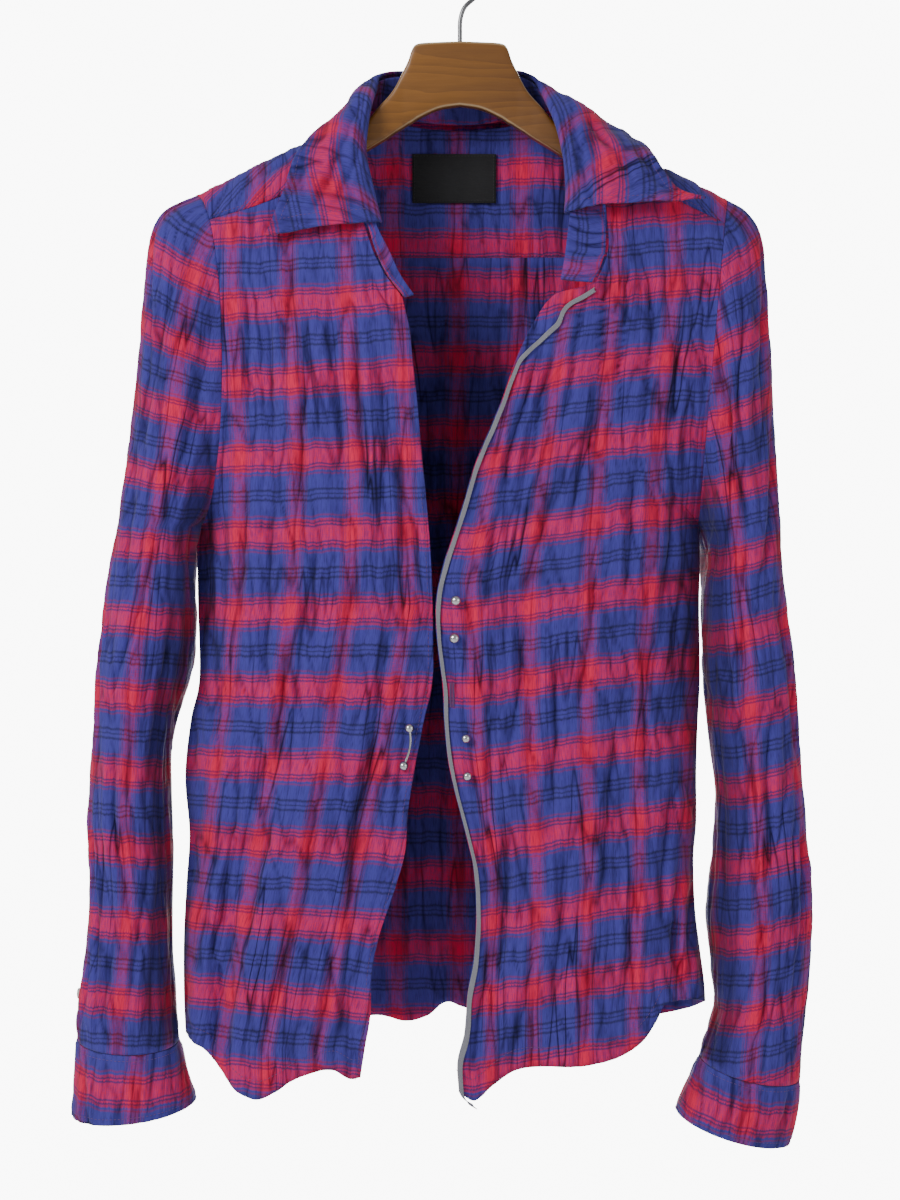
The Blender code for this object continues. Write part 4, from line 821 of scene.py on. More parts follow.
def front(name, ring, side, hem, neck_edge, free_edge, yoke_edge, folds, creases, bands, weft, seed, lean):
    """A front, crumpled, and its grid; its columns run from the side to the free edge."""
    cells = (ARMHOLE_CELLS * FRONT_DOWN, SIDE_CELLS * FRONT_DOWN, NECK_ROWS * FRONT_DOWN, FRONT_CELLS * ACROSS)
    grid = front_grid(ring, side, hem, neck_edge, free_edge, yoke_edge, cells)
    rows, columns = grid.shape[:2]
    press(grid, folds, 1, seam_fade(rows, columns, False))
    x, z = grid[:, :, 0].copy(), grid[:, :, 2].copy()
    height, slip, shade_mask = crumple(x, z, seed, creases, lean)
    down, across = length_along(grid, 0), length_along(grid, 1)
    height += 0.4 * eased((8 - (down[-1:] - down)) / 2)
    keep = eased(down / 7) * eased(across / 8)
    points, painted_shade = crumpled(grid, face_normals(grid, (0, -1, 0)), height, shade_mask, keep)
    points[0] += UNDER_YOKE
    u = warp_place(x, z, bands)
    v = weft_place(x, z, side[0].x, free_edge[8].x, weft, weft[0].z) + slip
    piece = shell(name, points, np.stack([u, v], axis=-1), CLOTH_WALL, CLOTH, out=(0, -1, 0), painted_shade=painted_shade)
    return piece, points


shoulder = yoke_grid(FRONT_CELLS * ACROSS, FRONT_CELLS * ACROSS, YOKE_CELLS)[-1]
front_right, FRONT_RIGHT = front(
    "front_right", SLEEVE_RIGHT[0], SIDE_RIGHT, HEM_RIGHT, NECK_EDGE_RIGHT, FREE_EDGE_RIGHT,
    shoulder[: FRONT_CELLS * ACROSS + 1], FOLDS_FRONT_RIGHT, CREASES_RIGHT, BANDS_RIGHT, WEFT_RIGHT, 53, 0.12,
)
front_left, FRONT_LEFT = front(
    "front_left", SLEEVE_LEFT[0], SIDE_LEFT, HEM_LEFT, NECK_EDGE_LEFT, FREE_EDGE_LEFT,
    shoulder[::-1][: FRONT_CELLS * ACROSS + 1], FOLDS_FRONT_LEFT, CREASES_LEFT, BANDS_LEFT, WEFT_LEFT, 61, 0.12,
)


# ---------------------------------------------------------------- back
# The back hangs from the yoke seam, with a narrow pleat in its middle, and closes the shirt at both side seams.

HEM_BACK = [
    Point(-194, 0, -768), Point(-184, 26, -770), Point(-150, 38, -774), Point(-100, 45, -770),
    Point(-61, 47, -765), Point(-40, 47, -769), Point(-23, 46, -765), Point(-10, 44, -755),
    Point(4, 45, -759), Point(40, 46, -767), Point(90, 44, -769), Point(135, 38, -764),
    Point(162, 24, -757), Point(173, -6, -748),
]
BACK_BELLY = [0, 2, 3, 2, 0, 0]
FOLDS_BACK = [
    Fold(-6, -221, -8, -620, 7, 5),
    Fold(-110, -300, -96, -520, 13, 4),
    Fold(90, -320, 104, -560, 13, 4),
    Fold(-60, -560, -76, -740, 12, 5),
    Fold(50, -540, 66, -740, 12, 5),
    Fold(-150, -460, -158, -680, 12, 5),
    Fold(138, -470, 146, -690, 12, 5),
]


def back_grid(yoke_seam, armhole_cells, side_cells):
    """The back between the yoke seam, both armholes and side seams, and the hem."""
    angles = spread(math.pi, 2 * math.pi - YOKE_BACK_ANGLE, armhole_cells)[::-1]
    left = joined(ring_points(SLEEVE_RIGHT[0], angles), evenly(SIDE_RIGHT, side_cells))
    right = joined(ring_points(SLEEVE_LEFT[0], angles), evenly(SIDE_LEFT, side_cells))
    grid = patch(yoke_seam, evenly(HEM_BACK, len(yoke_seam) - 1), left, right, SIDE_HUG, SIDE_HUG)
    return belly(grid, BACK_BELLY, lambda s: np.sqrt(1 - np.abs(2 * s - 1) ** 2.5))


BACK_ACROSS, BACK_DOWN = 9, 6
CREASES_BACK = [
    (-8, -223, -9, -330, 3, 4.0), (-2, -223, -3, -290, 3, 3.0), (-9, -330, -12, -560, 4, 3.0),
    (-160, -262, -150, -400, 6, 2.6), (-128, -240, -136, -372, 5, 2.8), (-104, -300, -92, -430, 6, 3.0),
    (-72, -236, -78, -380, 5, 2.6), (-44, -280, -34, -420, 5, 2.8), (-18, -300, -26, -440, 5, 2.4),
    (22, -250, 30, -372, 5, 2.8), (46, -300, 36, -430, 5, 2.6), (70, -240, 80, -380, 6, 2.8),
    (100, -290, 92, -430, 5, 2.8), (126, -250, 134, -392, 6, 2.6), (148, -320, 140, -450, 5, 2.4),
    (-150, -430, -160, -570, 6, 2.8), (-116, -450, -108, -590, 6, 3.0), (-82, -420, -92, -560, 6, 2.8),
    (-52, -460, -44, -600, 5, 2.6), (16, -430, 8, -560, 5, 2.8), (48, -470, 58, -600, 6, 3.0),
    (84, -440, 76, -590, 5, 2.8), (116, -470, 124, -610, 6, 2.8), (144, -500, 138, -640, 5, 2.6),
    (-166, -600, -172, -730, 6, 2.8), (-128, -610, -138, -740, 6, 3.0), (-96, -600, -88, -730, 5, 2.8),
    (-34, -610, -44, -740, 6, 2.8), (14, -600, 22, -730, 5, 2.6), (42, -620, 34, -740, 5, 2.8),
    (92, -610, 100, -740, 6, 2.8), (128, -640, 120, -750, 5, 2.8),
]

seam = yoke_grid(FRONT_CELLS * BACK_ACROSS, FRONT_CELLS * BACK_ACROSS, YOKE_CELLS)[0]
grid = back_grid(seam, ARMHOLE_CELLS * BACK_DOWN, SIDE_CELLS * BACK_DOWN)
press(grid, FOLDS_BACK, -1, seam_fade(grid.shape[0], grid.shape[1], True))
x, z = grid[:, :, 0].copy(), grid[:, :, 2].copy()
height, slip, shade_mask = crumple(x, z, 71, CREASES_BACK, 0.06)
down, across = length_along(grid, 0), length_along(grid, 1)
keep = eased(down / 7) * eased(np.minimum(across, across[:, -1:] - across) / 8)
points, painted_shade = crumpled(grid, face_normals(grid, (0, 1, 0)), height, shade_mask, keep)
points[0] += UNDER_YOKE * [0, -1, 1]
cut = np.stack([1.08 * x + 1.5, -239 - z + slip], axis=-1)
back = shell("back", points, cut, CLOTH_WALL, CLOTH, out=(0, 1, 0), painted_shade=painted_shade)


# ---------------------------------------------------------------- collar
# A two-part shirt collar: a stand of double cloth round the neck, and a leaf that turns over it and spreads to two
# points. Both are crinkled like the rest, and the points have curled.

# Round the collar from its right front end to its left: the neck seam, the fold where the leaf turns over, and
# the leaf's outer edge. The stand alone goes on past the leaf at both ends.
Collar = namedtuple("Collar", "neck_x neck_y neck_z fold_x fold_y fold_z edge_x edge_y edge_z")
STAND_END_RIGHT = [
    Collar(-40, -49, -256, -28, -44, -253, 0, 0, 0),
    Collar(-52, -45, -240, -37, -41, -240, 0, 0, 0),
    Collar(-60, -41, -224, -45, -38, -222, 0, 0, 0),
]
STAND_END_LEFT = [
    Collar(103, -43, -221, 70, -41, -212, 0, 0, 0),
    Collar(100, -45, -233, 68, -43, -227, 0, 0, 0),
    Collar(94, -47, -246, 65, -45, -243, 0, 0, 0),
]
COLLAR = [
    Collar(-66, -38, -206, -54, -36, -203, -136, -42, -212),
    Collar(-72, -33, -187, -60, -31, -178, -124, -37, -184),
    Collar(-76, -28, -167, -65, -26, -154, -119, -32, -166),
    Collar(-77, -22, -150, -64, -21, -134, -112, -23, -151),
    Collar(-76, -16, -137, -61, -15, -116, -104, -9, -139),
    Collar(-71, 1, -122, -58, 2, -102, -99, 8, -135),
    Collar(-66, 12, -120, -56, 13, -93, -91, 28, -141),
    Collar(-53, 24, -121, -46, 24, -88, -66, 46, -144),
    Collar(-31, 32, -125, -28, 31, -87, -34, 52, -145),
    Collar(0, 36, -127, 0, 34, -86, 0, 53, -145),
    Collar(31, 32, -125, 26, 31, -87, 42, 52, -145),
    Collar(53, 24, -121, 42, 24, -88, 80, 44, -144),
    Collar(66, 12, -120, 52, 14, -96, 108, 26, -141),
    Collar(75, 1, -123, 58, 3, -109, 122, 4, -139),
    Collar(85, -17, -139, 65, -15, -128, 131, -14, -146),
    Collar(92, -24, -152, 69, -22, -143, 136, -28, -155),
    Collar(97, -30, -171, 72, -29, -161, 142, -37, -167),
    Collar(101, -35, -190, 73, -34, -180, 152, -44, -180),
    Collar(103, -40, -208, 72, -39, -197, 170, -47, -187),
]
STAND_LIFT = 2.2        # the stand starts this far up from the neck seam, on its turned-in edge
STAND_DROP = 4.5        # and stops this far under the fold, inside the leaf's roll
ROLL = 7.0              # the leaf stands this far off the straight line from its fold to its edge


def collar_rows(rows, cells):
    return smooth(rows, np.linspace(0, len(rows) - 1, cells + 1))


def stand_grid(cells, steps):
    """From just over the neck seam up to just under the fold."""
    rows = collar_rows(STAND_END_RIGHT + COLLAR + STAND_END_LEFT, cells)
    neck, fold = rows[:, 0:3], rows[:, 3:6]
    rise = fold - neck
    height = np.linalg.norm(rise, axis=1, keepdims=True)
    start, stop = STAND_LIFT / height, 1 - STAND_DROP / height
    return np.array([neck + rise * (start + (stop - start) * k / steps) for k in range(steps + 1)])


def leaf_grid(cells, places):
    """From the fold, over its roll, out and down to the leaf's edge."""
    rows = collar_rows(COLLAR, cells)
    fold, edge = rows[:, 3:6], rows[:, 6:9]
    fall = edge - fold
    lift = np.cross(np.gradient(fold, axis=0), fall)
    lift /= np.linalg.norm(lift, axis=1, keepdims=True)
    lift *= np.sign(lift[len(lift) // 2, 1])
    return np.array([
        fold + fall * place + lift * ROLL * abs(math.sin(math.pi * place**0.6)) ** 0.8 for place in places
    ])


COLLAR_ROUND, LEAF_DOWN, STAND_UP = 300, 34, 14
COLLAR_WALL = 1.8
LEAF_PUFF = 3.2         # the leaf's largest ripples
LEAF_CREASES = [
    (-128, -196, -96, -150, 4, 1.8), (-104, -196, -78, -140, 4, 2.0), (-86, -190, -70, -150, 3, 1.6),
    (-118, -176, -92, -128, 4, 1.8), (-84, -146, -66, -112, 4, 1.6),
    (78, -128, 92, -196, 4, 3.2), (100, -140, 122, -184, 4, 2.0), (120, -150, 146, -184, 4, 2.2),
    (88, -126, 104, -150, 4, 1.8), (70, -116, 76, -160, 4, 2.0), (140, -160, 158, -178, 3, 1.6),
]
grid = stand_grid(COLLAR_ROUND, STAND_UP)
up, round_neck = length_along(grid, 0), length_along(grid, 1)
round_neck -= round_neck[:, [COLLAR_ROUND // 2]]
height, slip, shade_mask = crumple(round_neck, up, 83, puff=0.4)
normals = face_normals(grid, (0, 1, 0), columns=COLLAR_ROUND // 2)
keep = eased(np.minimum(up, up[-1:] - up) / 6 + 0.1)
points, painted_shade = crumpled(grid, normals, height, shade_mask, keep)
cut = np.stack([round_neck + 20, up + 10 + slip], axis=-1)
stand = shell("collar_stand", points, cut, COLLAR_WALL, CLOTH, out=(0, 1, 0), painted_shade=painted_shade)

grid = leaf_grid(COLLAR_ROUND, np.linspace(0, 1, LEAF_DOWN + 1) ** 1.4)
down, round_neck = length_along(grid, 0), length_along(grid, 1)
round_neck -= round_neck[:, [COLLAR_ROUND // 2]]
height, slip, shade_mask = crumple(grid[:, :, 0], grid[:, :, 2], 97, LEAF_CREASES, puff=0.8)
height += LEAF_PUFF * ripple(round_neck / 26, down / 36, 103) * eased(down / 25)
keep = eased(down / 8) * eased((down[-1:] - down) / 6 + 0.6)
normals = face_normals(grid, (0, 1, 0), columns=COLLAR_ROUND // 2)
LEAF, painted_shade = crumpled(grid, normals, height, shade_mask, keep)
cut = np.stack([round_neck * 1.05 + 8, down + 18 + slip], axis=-1)
leaf = shell("collar_leaf", LEAF, cut, COLLAR_WALL, CLOTH, out=(0, 1, 0.4), painted_shade=painted_shade)


# ---------------------------------------------------------------- edge tape and label
# A narrow grey woven tape is sewn flat on the left front, in from the collar and then along the free edge down to
# the hem, where its end hangs past the cloth. The neck label is a plain black woven patch, sewn round its edge.

TAPE_WIDTH = 4.2
# How far the tape's middle lies in from the left front's free edge, by the row of that front.
TAPE_ROWS = [5, 5.5, 6, 6.5, 7, 7.5]
TAPE_INSETS = [4, 9, 17, 11, 3.5, 2.5]
LABEL_LEFT, LABEL_RIGHT, LABEL_TOP, LABEL_FOOT = -34, 26, -145.5, -180.5


def woven(name, colour, pale, across, down):
    """A plain woven ribbon: across and down are its ribs per metre."""
    ribbon = Finish(name, {"Sheen Weight": 0.2, "Specular IOR Level": 0.3})
    cut = ribbon.node("ShaderNodeUVMap", {"uv_map": "cut"})
    ribs, picks = (
        ribbon.node("ShaderNodeTexWave", {"bands_direction": way}, {"Vector": cut, "Scale": scale, "Distortion": 0.6})
        for way, scale in (("X", across), ("Y", down))
    )
    dust = ribbon.noise(cut, 260, detail=4)
    colour = ribbon.mix(dust * 0.5, colour, pale)
    normal = ribbon.bump(ribs * picks + dust * 0.6, 0.0004, 0.6)
    return ribbon.feed(Base_Color=colour, Roughness=0.7 + dust * 0.2, Normal=normal)


def along_panel(panel, rows):
    """The panel's points at rows that may lie between its own."""
    first = np.minimum(rows.astype(int), len(panel) - 2)
    share = (rows - first)[:, None, None]
    return panel[first] * (1 - share) + panel[first + 1] * share


def slackened(grid, reach):
    """The grid with each point at the mean of those up to reach rows before and after it."""
    padded = np.pad(grid, ((reach, reach), (0, 0), (0, 0)), mode="edge")
    return np.mean([padded[k : k + len(grid)] for k in range(2 * reach + 1)], axis=0)


def depth_at(panel, x, z):
    """Y of a crumpled panel at (x, z), from the points nearest to it."""
    spots = panel.reshape(-1, 3)
    far = (spots[:, 0] - x) ** 2 + (spots[:, 2] - z) ** 2
    return spots[np.argpartition(far, 4)[:4], 1].mean()


TAPE_LIFT, TAPE_THICK, TAPE_ACROSS = 1.5, 0.9, 6
LABEL_LIFT, LABEL_WALL = 2.0, 0.7
tape_rows = np.linspace((TAPE_ROWS[0] + 0.05) * FRONT_DOWN, len(FRONT_LEFT) - 1, 420)
panel = along_panel(FRONT_LEFT, tape_rows)
from_edge = length_along(panel[:, ::-1], 1)
inset = np.interp(tape_rows / FRONT_DOWN, TAPE_ROWS, TAPE_INSETS)[:, None]
share = np.linspace(0, 1, len(tape_rows))
width = TAPE_WIDTH * (0.75 + 0.3 * share + 0.14 * ripple(share * 22, share * 0, 9))[:, None]
across = inset + 0.5 * ripple(share * 31, share * 0, 15)[:, None] + width * np.linspace(-0.5, 0.5, TAPE_ACROSS)
TAPE = np.array([
    [[np.interp(place, reach, line[::-1, axis]) for axis in range(3)] for place in places]
    for places, reach, line in zip(across, from_edge, panel)
])
TAPE[:, :, 1] = (TAPE[:, :, 1] + TAPE[:, :, 1].min(axis=1, keepdims=True)) / 2 - TAPE_LIFT
TAPE = slackened(TAPE, 2)
fall = np.arange(1, 9)[:, None, None]
tail = TAPE[-1:] + fall * np.array([0.35, 0, -1.35]) + fall**2 * np.array([0.10, 0, 0.02])
TAPE = np.vstack([TAPE, tail])
across = np.broadcast_to(np.linspace(0, TAPE_WIDTH, TAPE_ACROSS), TAPE.shape[:2])
cut = np.stack([across, length_along(TAPE, 0)], axis=-1)
GREY_TAPE = woven("grey_tape", (0.21, 0.21, 0.25), (0.34, 0.34, 0.38), 500, 300)
shell("edge_tape", TAPE, cut, TAPE_THICK, GREY_TAPE, out=(0, -1, 0))

columns, rows = np.linspace(LABEL_LEFT, LABEL_RIGHT, 40), np.linspace(LABEL_TOP, LABEL_FOOT, 24)
place_x, place_z = np.meshgrid(columns, rows)
depths = np.array([[depth_at(YOKE_POINTS, x, z) for x in columns] for z in rows])
depths += 0.4 * ripple(place_x / 22, place_z / 15, 5)
grid = np.stack([place_x, depths - CLOTH_WALL - LABEL_LIFT, place_z], axis=-1)
BLACK_LABEL = woven("black_label", (0.011, 0.011, 0.013), (0.035, 0.035, 0.038), 420, 260)
LABEL = slackened(slackened(grid, 2).transpose(1, 0, 2), 2).transpose(1, 0, 2)
LABEL[:, :, [0, 2]] = grid[:, :, [0, 2]]
cut = np.stack([place_x, place_z], axis=-1)
label = shell("label", LABEL, cut, LABEL_WALL, BLACK_LABEL, out=(0, -1, 0))


# ---------------------------------------------------------------- topstitching
# One row of lockstitch holds each finished edge: round the cuffs and the collar leaf, along both hems and the right
# front's turned edge, and down both sides of the tape. Each thread matches what it holds.

def plain(name, colour, pale, roughness, scale=400, depth=0.0001, constants=()):
    """A hard or thready finish: one colour clouded by another, with a fine grain."""
    finish = Finish(name, constants)
    where = finish.node("ShaderNodeTexCoord", output=3)
    grain = finish.noise(where, scale, detail=3)
    cloud = finish.noise(where, scale / 12)
    return finish.feed(Base_Color=finish.mix(cloud * 0.8, colour, pale), Roughness=(grain - 0.5) * 0.2 + roughness,
                       Normal=finish.bump(grain, depth, 0.6))


def stitch_tree(thread):
    """Geometry nodes that lay a stitch at every step along a curve."""
    tree = bpy.data.node_groups.new("lockstitch", "GeometryNodeTree")
    tree.interface.new_socket("Geometry", in_out="INPUT", socket_type="NodeSocketGeometry")
    for size in ("Step", "Stitch", "Thread"):
        tree.interface.new_socket(size, in_out="INPUT", socket_type="NodeSocketFloat")
    tree.interface.new_socket("Geometry", in_out="OUTPUT", socket_type="NodeSocketGeometry")
    made = {key: tree.nodes.new(kind) for key, kind in (
        ("given", "NodeGroupInput"), ("points", "GeometryNodeCurveToPoints"), ("bead", "GeometryNodeMeshUVSphere"),
        ("size", "ShaderNodeCombineXYZ"), ("stretch", "GeometryNodeTransform"),
        ("place", "GeometryNodeInstanceOnPoints"), ("real", "GeometryNodeRealizeInstances"),
        ("round", "GeometryNodeSetShadeSmooth"), ("paint", "GeometryNodeSetMaterial"), ("result", "NodeGroupOutput"),
    )}
    made["points"].mode = "LENGTH"
    for socket, value in (("Segments", 6), ("Rings", 5), ("Radius", 0.5)):
        made["bead"].inputs[socket].default_value = value
    made["paint"].inputs["Material"].default_value = thread
    for start, out, stop, into in (
        ("given", "Geometry", "points", "Curve"), ("given", "Step", "points", "Length"),
        ("given", "Thread", "size", "X"), ("given", "Thread", "size", "Y"), ("given", "Stitch", "size", "Z"),
        ("bead", "Mesh", "stretch", "Geometry"), ("size", "Vector", "stretch", "Scale"),
        ("points", "Points", "place", "Points"), ("points", "Rotation", "place", "Rotation"),
        ("stretch", "Geometry", "place", "Instance"), ("place", "Instances", "real", "Geometry"),
        ("real", "Geometry", "round", "Geometry"), ("round", "Geometry", "paint", "Geometry"),
        ("paint", "Geometry", "result", "Geometry"),
    ):
        tree.links.new(made[start].outputs[out], made[stop].inputs[into])
    return tree


def drawn(name, lines, radius=0.0):
    """Lines of points as one curve, round if it has a radius."""
    curve = bpy.data.curves.new(name, "CURVE")
    curve.dimensions = "3D"
    curve.bevel_depth, curve.bevel_resolution, curve.use_fill_caps = radius * MM, 6, True
    for line in lines:
        spline = curve.splines.new("POLY")
        spline.points.add(len(line) - 1)
        spline.points.foreach_set("co", np.hstack([np.array(line) * MM, np.ones((len(line), 1))]).reshape(-1))
    path = bpy.data.objects.new(name + "_path", curve)
    bpy.context.scene.collection.objects.link(path)
    return path


def as_mesh(name, path):
    """The path's shape as a plain mesh that stands where it stood."""
    bpy.context.view_layer.update()
    mesh = bpy.data.meshes.new_from_object(path.evaluated_get(bpy.context.evaluated_depsgraph_get()))
    bpy.data.objects.remove(path)
    piece = bpy.data.objects.new(name, mesh)
    bpy.context.scene.collection.objects.link(piece)
    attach(piece, "root")
    return piece


def stitched(name, lines, thread, step=2.9, stitch=2.1, across=0.45):
    """Rows of stitches along lines of points, as one mesh."""
    path = drawn(name, lines)
    sewing = path.modifiers.new("sewing", "NODES")
    sewing.node_group = stitch_tree(thread)
    sizes = {"Step": step, "Stitch": stitch, "Thread": across}
    for socket in sewing.node_group.interface.items_tree:
        if socket.name in sizes:
            sewing[socket.identifier] = sizes[socket.name] * MM
    return as_mesh(name, path)


OFF_CLOTH = np.array([0, -0.15, 0])
BLUE_THREAD = plain("blue_thread", (0.07, 0.05, 0.20), (0.25, 0.06, 0.16), 0.6, scale=900)
GREY_THREAD = plain("grey_thread", (0.28, 0.28, 0.32), (0.42, 0.42, 0.46), 0.6, scale=900)
BLACK_THREAD = plain("black_thread", (0.02, 0.02, 0.022), (0.05, 0.05, 0.05), 0.6, scale=900)
stitched("edge_stitches", [
    along_panel(FRONT_RIGHT, np.array([len(FRONT_RIGHT) - 4.0]))[0] + OFF_CLOTH,
    along_panel(FRONT_LEFT, np.array([len(FRONT_LEFT) - 4.0]))[0] + OFF_CLOTH,
    FRONT_RIGHT[70:, -5] + OFF_CLOTH, LEAF[-3, 6:-6], LEAF[8:-3, 6], LEAF[8:-3, -7],
    CUFF_POINTS_RIGHT[-4], CUFF_POINTS_RIGHT[3], CUFF_POINTS_LEFT[-4], CUFF_POINTS_LEFT[3],
    YOKE_POINTS[1, 4:-4] - [0, 1.2, 0], YOKE_POINTS[1, 4:-4] + [0, 0.1, 0],
    YOKE_POINTS[-2, 4 : YOKE_ACROSS - 4] + OFF_CLOTH, YOKE_POINTS[-2, 2 * YOKE_ACROSS + 4 : -4] + OFF_CLOTH,
], BLUE_THREAD)
stitched("tape_stitches", [(TAPE[:-8, 0] + TAPE[:-8, 1]) / 2, (TAPE[:-8, -1] + TAPE[:-8, -2]) / 2], GREY_THREAD,
         step=2.4, stitch=1.7, across=0.35)
stitched("label_stitches", [
    LABEL[1, 1:-1] + OFF_CLOTH, LABEL[-2, 1:-1] + OFF_CLOTH, LABEL[1:-1, 1] + OFF_CLOTH, LABEL[1:-1, -2] + OFF_CLOTH,
], BLACK_THREAD, step=2.2, stitch=1.7, across=0.4)
hole_z = np.linspace(-523, -539, 30)
stitched("buttonhole", [
    np.array([[x, depth_at(FRONT_LEFT, x, z) - 0.5, z] for z in hole_z]) for x in (-6.9, -6.2, -5.0, -4.3)
], BLUE_THREAD, step=0.62, stitch=0.9, across=0.75)


# ---------------------------------------------------------------- bar piercings
# Straight steel barbells stand in for buttons. Two go through the left front and show only their balls, which screw
# on to the bar's ends; the third lies on the right front with its bar bowed out.

STEEL = plain("polished_steel", (0.70, 0.70, 0.72), (0.58, 0.58, 0.61), 0.2, scale=900, depth=0.00003,
              constants={"Metallic": 1.0})


def turned(name, profile, place, axis, material, sides=32):
    """A solid turned from rows of (radius, height); its first and last rows are points on its axis."""
    axis = np.asarray(axis, float) / np.linalg.norm(axis)
    aside = np.cross(axis, (0, 0, 1) if abs(axis[2]) < 0.9 else (1, 0, 0))
    aside /= np.linalg.norm(aside)
    third = np.cross(axis, aside)
    turns = np.linspace(0, 2 * math.pi, sides, endpoint=False)
    points = [place + axis * profile[0][1]]
    for radius, height in profile[1:-1]:
        points += [place + axis * height + radius * (aside * math.cos(a) + third * math.sin(a)) for a in turns]
    points.append(place + axis * profile[-1][1])
    last, faces = len(points) - 1, []
    for k in range(sides):
        n = (k + 1) % sides
        faces.append((0, 1 + n, 1 + k))
        for ring in range(len(profile) - 3):
            a, b = 1 + ring * sides + k, 1 + ring * sides + n
            faces.append((a, b, b + sides, a + sides))
        faces.append((last, last - sides + k, last - sides + n))
    mesh = bpy.data.meshes.new(name)
    mesh.from_pydata(np.array(points) * MM, [], faces)
    mesh.shade_smooth()
    mesh.set_sharp_from_angle(angle=math.radians(40))
    mesh.materials.append(material)
    piece = bpy.data.objects.new(name, mesh)
    bpy.context.scene.collection.objects.link(piece)
    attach(piece, "root")
    return piece


def wire(name, points, radius, material):
    """A round wire through the points."""
    piece = as_mesh(name, drawn(name, [points], radius))
    piece.data.materials.clear()
    piece.data.materials.append(material)
    piece.data.shade_smooth()
    return piece


# A barbell: the places of its balls on the front (x, z), the balls' radius and whether it goes through the cloth.
Barbell = namedtuple("Barbell", "name top_x top_z foot_x foot_z ball through")
BARBELLS = [
    Barbell("barbell_upper", -3, -466, -4, -492, 3.7, True),
    Barbell("barbell_lower", 4, -561, 5, -587, 3.2, True),
    Barbell("barbell_right", -35, -554, -39, -580, 3.3, False),
]
BAR, BALL_LIFT, BAR_DEPTH = 0.85, 0.4, 3.5
for row in BARBELLS:
    panel = FRONT_LEFT if row.through else FRONT_RIGHT
    ends = [np.array([x, depth_at(panel, x, z) - BALL_LIFT - row.ball, z])
            for x, z in ((row.top_x, row.top_z), (row.foot_x, row.foot_z))]
    for part, middle in zip(("ball_top", "ball_foot"), ends):
        turns = np.linspace(0, math.pi, 20)
        profile = [(row.ball * math.sin(a), -row.ball * math.cos(a)) for a in turns]
        # A ball has a small flat where its bar screws in.
        profile = [(0, -0.93 * row.ball)] + [(r, max(h, -0.93 * row.ball)) for r, h in profile[2:]]
        ball = turned(f"{row.name}_{part}_ball", profile, middle, (0, -1, 0), STEEL)
        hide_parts(f"{row.name}_{part}")
    share = np.linspace(0, 1, 40)[:, None]
    line = ends[0] + (ends[1] - ends[0]) * share
    if row.through:
        bend = np.minimum(np.minimum(share, 1 - share) * 14, 1) ** 0.5
        line = line + np.array([0, 1, 0]) * (row.ball * 0.5 + (row.ball * 0.5 + BALL_LIFT + BAR_DEPTH) * bend)
    else:
        line = line + np.array([2.4, 0, 0]) * np.sin(math.pi * share)
    bar = wire(row.name + "_wire", line, BAR, STEEL)
    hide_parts(row.name + "_bar")


# ---------------------------------------------------------------- buttons
# The slit above each cuff and the cuff itself close with small pearly buttons: a dished disc with a rounded rim,
# sewn on with two loops of thread.

# A button: the cloth it is sewn to, the place in that cloth's rings, its angle round them and its radius.
Button = namedtuple("Button", "name cloth rings place angle radius")
BUTTONS = [
    Button("sleeve_button_right", SLEEVE_POINTS_RIGHT, SLEEVE_RIGHT, 12.7, -10, 4.0),
    Button("sleeve_button_left", SLEEVE_POINTS_LEFT, SLEEVE_LEFT, 12.6, -40, 4.0),
    Button("cuff_button_right", CUFF_POINTS_RIGHT, CUFF_RIGHT, 1.0, -50, 5.0),
    Button("cuff_button_left", CUFF_POINTS_LEFT, CUFF_LEFT, 1.0, -50, 5.0),
]
BUTTON_WALL = 2.2
PEARL = plain("pearl_button", (0.72, 0.70, 0.66), (0.48, 0.44, 0.45), 0.28, scale=500, depth=0.00003,
              constants={"Coat Weight": 0.4, "Coat Roughness": 0.15})
for row in BUTTONS:
    ring = Ring(*smooth(row.rings, [row.place])[0])
    angle = math.radians(row.angle)
    place, ahead, behind_it = ring_points(ring, np.array([angle, angle + 0.05, angle - 0.05]))
    out = np.cross(ahead - behind_it, (0, 0, 1))
    out *= np.sign(out[0] * ring.outer_x)
    out /= np.linalg.norm(out)
    near = row.cloth.reshape(-1, 3) - place
    near = near[np.linalg.norm(near, axis=1) < row.radius]
    place = place + out * ((near @ out).max() + 0.3)
    rim = [(row.radius - 0.5 + 0.5 * math.sin(a), BUTTON_WALL / 2 - BUTTON_WALL / 2 * math.cos(a))
           for a in np.linspace(0, math.pi, 9)]
    profile = [(0, 0)] + rim + [(row.radius - 1.3, BUTTON_WALL - 0.7), (row.radius - 1.9, BUTTON_WALL - 0.8),
                                (0, BUTTON_WALL - 0.8)]
    disc = turned(row.name + "_disc", profile, place, out, PEARL)
    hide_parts(row.name)
    side = np.cross(out, (0, 0, 1))
    side /= np.linalg.norm(side)
    top = place + out * (BUTTON_WALL - 0.6)
    for step in (-0.6, 0.6):
        ends = [top + side * step + np.cross(out, side) * 0.9 * math.cos(a)
                + out * 0.35 * math.sin(a) for a in np.linspace(0, math.pi, 9)]
        wire(f"{row.name}_thread_{'a' if step < 0 else 'b'}", ends, 0.22, BLUE_THREAD)
